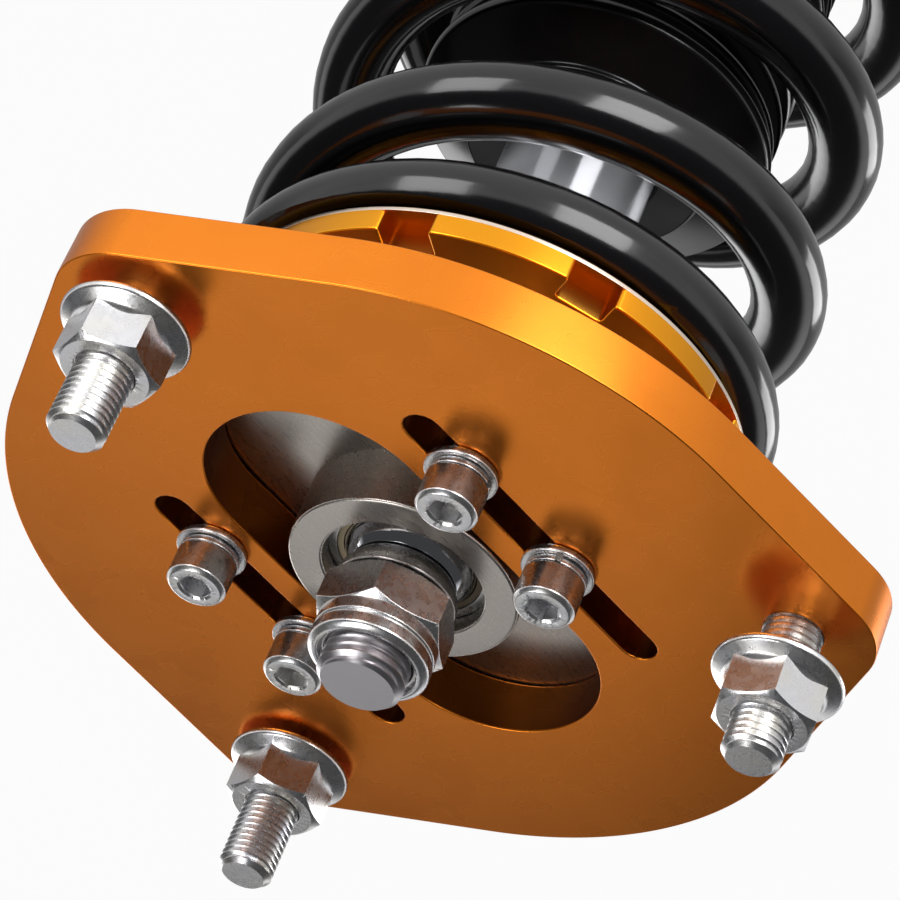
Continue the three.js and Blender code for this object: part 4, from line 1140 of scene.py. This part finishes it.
def build_perch_ring():
    """A flange that carries the spring, with a pilot above it and a notched skirt below."""
    perch = Extent("perch_ring")
    flange_top = Extent("perch_washer").bottom - 0.3
    flange_bottom = flange_top - PERCH_FLANGE_HEIGHT
    points = stepped(COLLAR_BORE, flange_bottom, (perch.radius, flange_top), (PILOT_RADIUS, perch.top))
    flange = turned(points, edge=0.4, steps=180)
    skirt = notched_collar(Extent("perch_lock_ring").radius, perch.bottom, flange_bottom + OVERLAP)
    finish(joined([flange, skirt]), "perch_ring", "anodised", "perch_rings", "ring_gold")


def build_lock_ring(node, body):
    lock = Extent(node)
    finish(notched_collar(lock.radius, lock.bottom, lock.top), node, "anodised", body, "ring_gold")


def build_plain_ring(node, bore, edge, body, look):
    extent = Extent(node)
    finish(ring(bore, extent.radius, extent.bottom, extent.top, edge), node, "moulded", body, look)


SLEEVE_RADIUS = 31.3
SLEEVE_BORE = 25.3
SLEEVE_DROP = 4
EAR_THICKNESS = 6
EAR_INNER_OFFSET = 17
EAR_FRONT = 26.5
EAR_CORNER = 10
EAR_DROP = 8
BOLT_HOLE_RADIUS = 7.2
HOLE_SPACING = 56
HOLE_REACH = 62
WELD_RADIUS = 2.2


def weld_bead(start, end):
    """A run of weld: overlapping drops laid along a line."""
    bm = bmesh.new()
    run = Vector(end) - Vector(start)
    drops = round(run.length / (0.75 * WELD_RADIUS))
    for index in range(drops + 1):
        drop = bmesh.ops.create_uvsphere(bm, u_segments=16, v_segments=10, radius=WELD_RADIUS)["verts"]
        bmesh.ops.scale(bm, vec=(1.0, 1.0, 0.72), verts=drop)
        bmesh.ops.translate(bm, vec=Vector(start) + run * index / drops, verts=drop)
    return as_object(bm)


def build_knuckle_bracket():
    """A sleeve on the damper body with two welded ears for the wheel's knuckle."""
    bracket = Extent("knuckle_bracket")
    sleeve_bottom = Extent("damper_tube").bottom - SLEEVE_DROP
    shapes = [ring(SLEEVE_BORE, SLEEVE_RADIUS, sleeve_bottom, bracket.top, edge=0.8, steps=128)]
    ear_top = bracket.top - EAR_DROP
    middle = (ear_top + bracket.bottom) / 2
    outside = EAR_INNER_OFFSET + EAR_THICKNESS
    meets = -sqrt(SLEEVE_RADIUS**2 - outside**2)
    outline = round_cornered(bracket.low.x, -EAR_FRONT, bracket.bottom, ear_top, EAR_CORNER)
    heights = (middle + HOLE_SPACING / 2, middle - HOLE_SPACING / 2)
    holes = [round_hole(-HOLE_REACH, height, BOLT_HOLE_RADIUS) for height in heights]
    for way in (1, -1):
        ear = flat_piece(outline, holes, 0, EAR_THICKNESS, edge=0.8)
        ear.data.transform(Matrix.Rotation(pi / 2, 4, "X"))
        moved(ear, (0, outside if way > 0 else -EAR_INNER_OFFSET, 0))
        bead = weld_bead((meets, way * outside, sleeve_bottom + 3), (meets, way * outside, ear_top - 2))
        shapes += [ear, bead]
    finish(joined(shapes), "knuckle_bracket", "painted", "bracket", "bracket_black")


# ---- Pieces that keep their CAD shape

KEPT = {
    "machined_steel": "rod_guide rebound_shims piston compression_shims floating_piston end_plug",
    "seal_rubber": "rod_seal floating_seal",
    "liner": "piston_band",
    "bright_zinc": "piston_nut",
}


def dress_kept_nodes():
    for look, nodes in KEPT.items():
        for node in nodes.split():
            piece = frame["nodes"][node]
            piece.data.materials.clear()
            piece.data.materials.append(LOOKS[look][0])


# ---- Studio

CAMERA_AIM = Vector((-18.07, 24.63, 0)) * MM
CAMERA_DISTANCE = 510.4 * MM
CAMERA_AZIMUTH = 124.41
CAMERA_ELEVATION = 36.04
CAMERA_ROLL = -156.74
CAMERA_LENS = 161.19
FLOOR_DROP = 0.04
FLOOR_SIZE = 6
FLOOR_GLOW = 0.96
FLOOR_GREY = colour(0.5, 0.5, 0.5)
BRIGHT_AZIMUTH = 140
WALL_TOP = 0.14
WALL_FADE = 0.28
CEILING_GLOW = 0.06
CEILING_WHITE = colour(0.97, 0.98, 1.0)
WHITE = colour(1, 1, 1)
LAMP_AIM = Vector((0, 0, -60)) * MM

# Each lamp's azimuth, elevation, distance, width and height, and radiance
LAMPS = {
    "front_key": (111, -5, 0.70, (0.34, 0.60), 6.0),
    "left_fill": (167, 0, 0.75, (0.32, 0.50), 4.0),
    "overhead": (200, 68, 0.80, (0.50, 0.20), 5.0),
    "right_rim": (8, -18, 0.80, (0.40, 0.30), 4.0),
    "back_fill": (290, 5, 1.10, (0.50, 0.50), 2.0),
    "plate_glow": (298, 48, 0.60, (0.28, 0.24), 0.62),
}


def direction(azimuth, elevation):
    """A unit vector, from angles in degrees."""
    turn = radians(azimuth)
    rise = radians(elevation)
    return Vector((cos(rise) * cos(turn), cos(rise) * sin(turn), sin(rise)))


def build_camera():
    """A long lens from above and to one side, rolled so that the strut runs up to the right."""
    away = direction(CAMERA_AZIMUTH, CAMERA_ELEVATION)
    data = bpy.data.cameras.new("camera")
    data.lens = CAMERA_LENS
    data.sensor_width = 36
    data.clip_end = 20
    camera = placed("camera", data)
    level = away.to_track_quat("Z", "Y").to_matrix()
    roll = Matrix.Rotation(radians(CAMERA_ROLL), 3, "Z")
    camera.matrix_world = Matrix.Translation(CAMERA_AIM + away * CAMERA_DISTANCE) @ (level @ roll).to_4x4()
    scene.camera = camera


def build_floor():
    """A pale floor, nearly white to the camera and dimmer in reflections away from the front."""
    bm = bmesh.new()
    bmesh.ops.create_grid(bm, x_segments=1, y_segments=1, size=FLOOR_SIZE)
    bmesh.ops.translate(bm, vec=(0, 0, cad_bounds[0][2] - FLOOR_DROP), verts=bm.verts)
    floor = as_object(bm, "studio_floor")
    nodes = Finish("studio_floor")
    nodes.set(Base_Color=FLOOR_GREY, Roughness=0.9)
    glow = nodes.add("Emission", None, {"Color": WHITE, "Strength": 1.0})
    lit = Wire(nodes, nodes.shader.outputs[0])
    front = (*around(1, radians(BRIGHT_AZIMUTH)), 0)
    along = {"operation": "DOT_PRODUCT"}
    forward = nodes.add("VectorMath", along, {0: nodes.place, 1: front}, output="Value")
    pool = nodes.ramp(0.5 + 0.8 * forward, (0.34, 0.28), (0.78, 0.80), (0.94, 0.95))
    surface = nodes.mix_shaders(FLOOR_GLOW * nodes.backdrop_share(pool), lit, glow)
    nodes.feed(nodes.tree.nodes["Material Output"].inputs["Surface"], surface)
    floor.data.materials.append(nodes.material)


def build_world():
    """White walls up to the height of the strut, under a dim ceiling."""
    world = bpy.data.worlds.new("studio")
    world.use_nodes = True
    scene.world = world
    nodes = Nodes(world.node_tree)
    way = nodes.add("TexCoord", output="Generated")
    height = nodes.add("SeparateXYZ", None, {0: way}, output="Z")
    walls = nodes.ramp(height, (0.0, 1.0), (WALL_TOP, 1.0), (WALL_FADE, 0.0))
    dim = nodes.add("Background", None, {"Color": CEILING_WHITE, "Strength": CEILING_GLOW})
    white = nodes.add("Background", None, {"Color": WHITE, "Strength": 1.0})
    surface = nodes.mix_shaders(nodes.backdrop_share(walls), dim, white)
    nodes.feed(world.node_tree.nodes["World Output"].inputs["Surface"], surface)


def softbox(name, azimuth, elevation, distance, size, radiance):
    """A soft lamp in a direction from the strut's upper end, turned to face it."""
    away = direction(azimuth, elevation)
    data = bpy.data.lights.new(name, "AREA")
    data.shape = "RECTANGLE"
    data.size, data.size_y = size
    data.energy = radiance * pi * size[0] * size[1]
    lamp = placed(name, data)
    lamp.location = LAMP_AIM + away * distance
    lamp.rotation_euler = away.to_track_quat("Z", "Y").to_euler()
    lamp.visible_camera = False


# ---- The whole strut

STUD_NUT_TURNS = {1: 12, 2: 40, 3: 5}

build_camera()
build_camber_plate()
for number, turn in STUD_NUT_TURNS.items():
    build_stud(number)
    build_stud_nut(number, turn)
build_slide_carrier()
for number in SCREWS:
    build_clamp_screw(number)
build_bearing()
build_retaining_ring()
build_spacers()
build_lock_nut()
build_spring_seat()
build_coil_spring()
build_piston_rod()
build_bump_stop()
build_dust_boot()
build_damper_tube()
build_gland_nut()
build_plain_ring("rod_nut_insert", 6.05, 0.15, "rod_stack", "nylon")
build_plain_ring("perch_washer", 30, 0.5, "perch_slider", "plastic_black")
build_perch_ring()
build_lock_ring("perch_lock_ring", "perch_rings")
build_lock_ring("bracket_lock_ring", "bracket_ring")
build_knuckle_bracket()
dress_kept_nodes()
build_floor()
build_world()
for name, settings in LAMPS.items():
    softbox(name, *settings)

scene.view_settings.view_transform = "Standard"
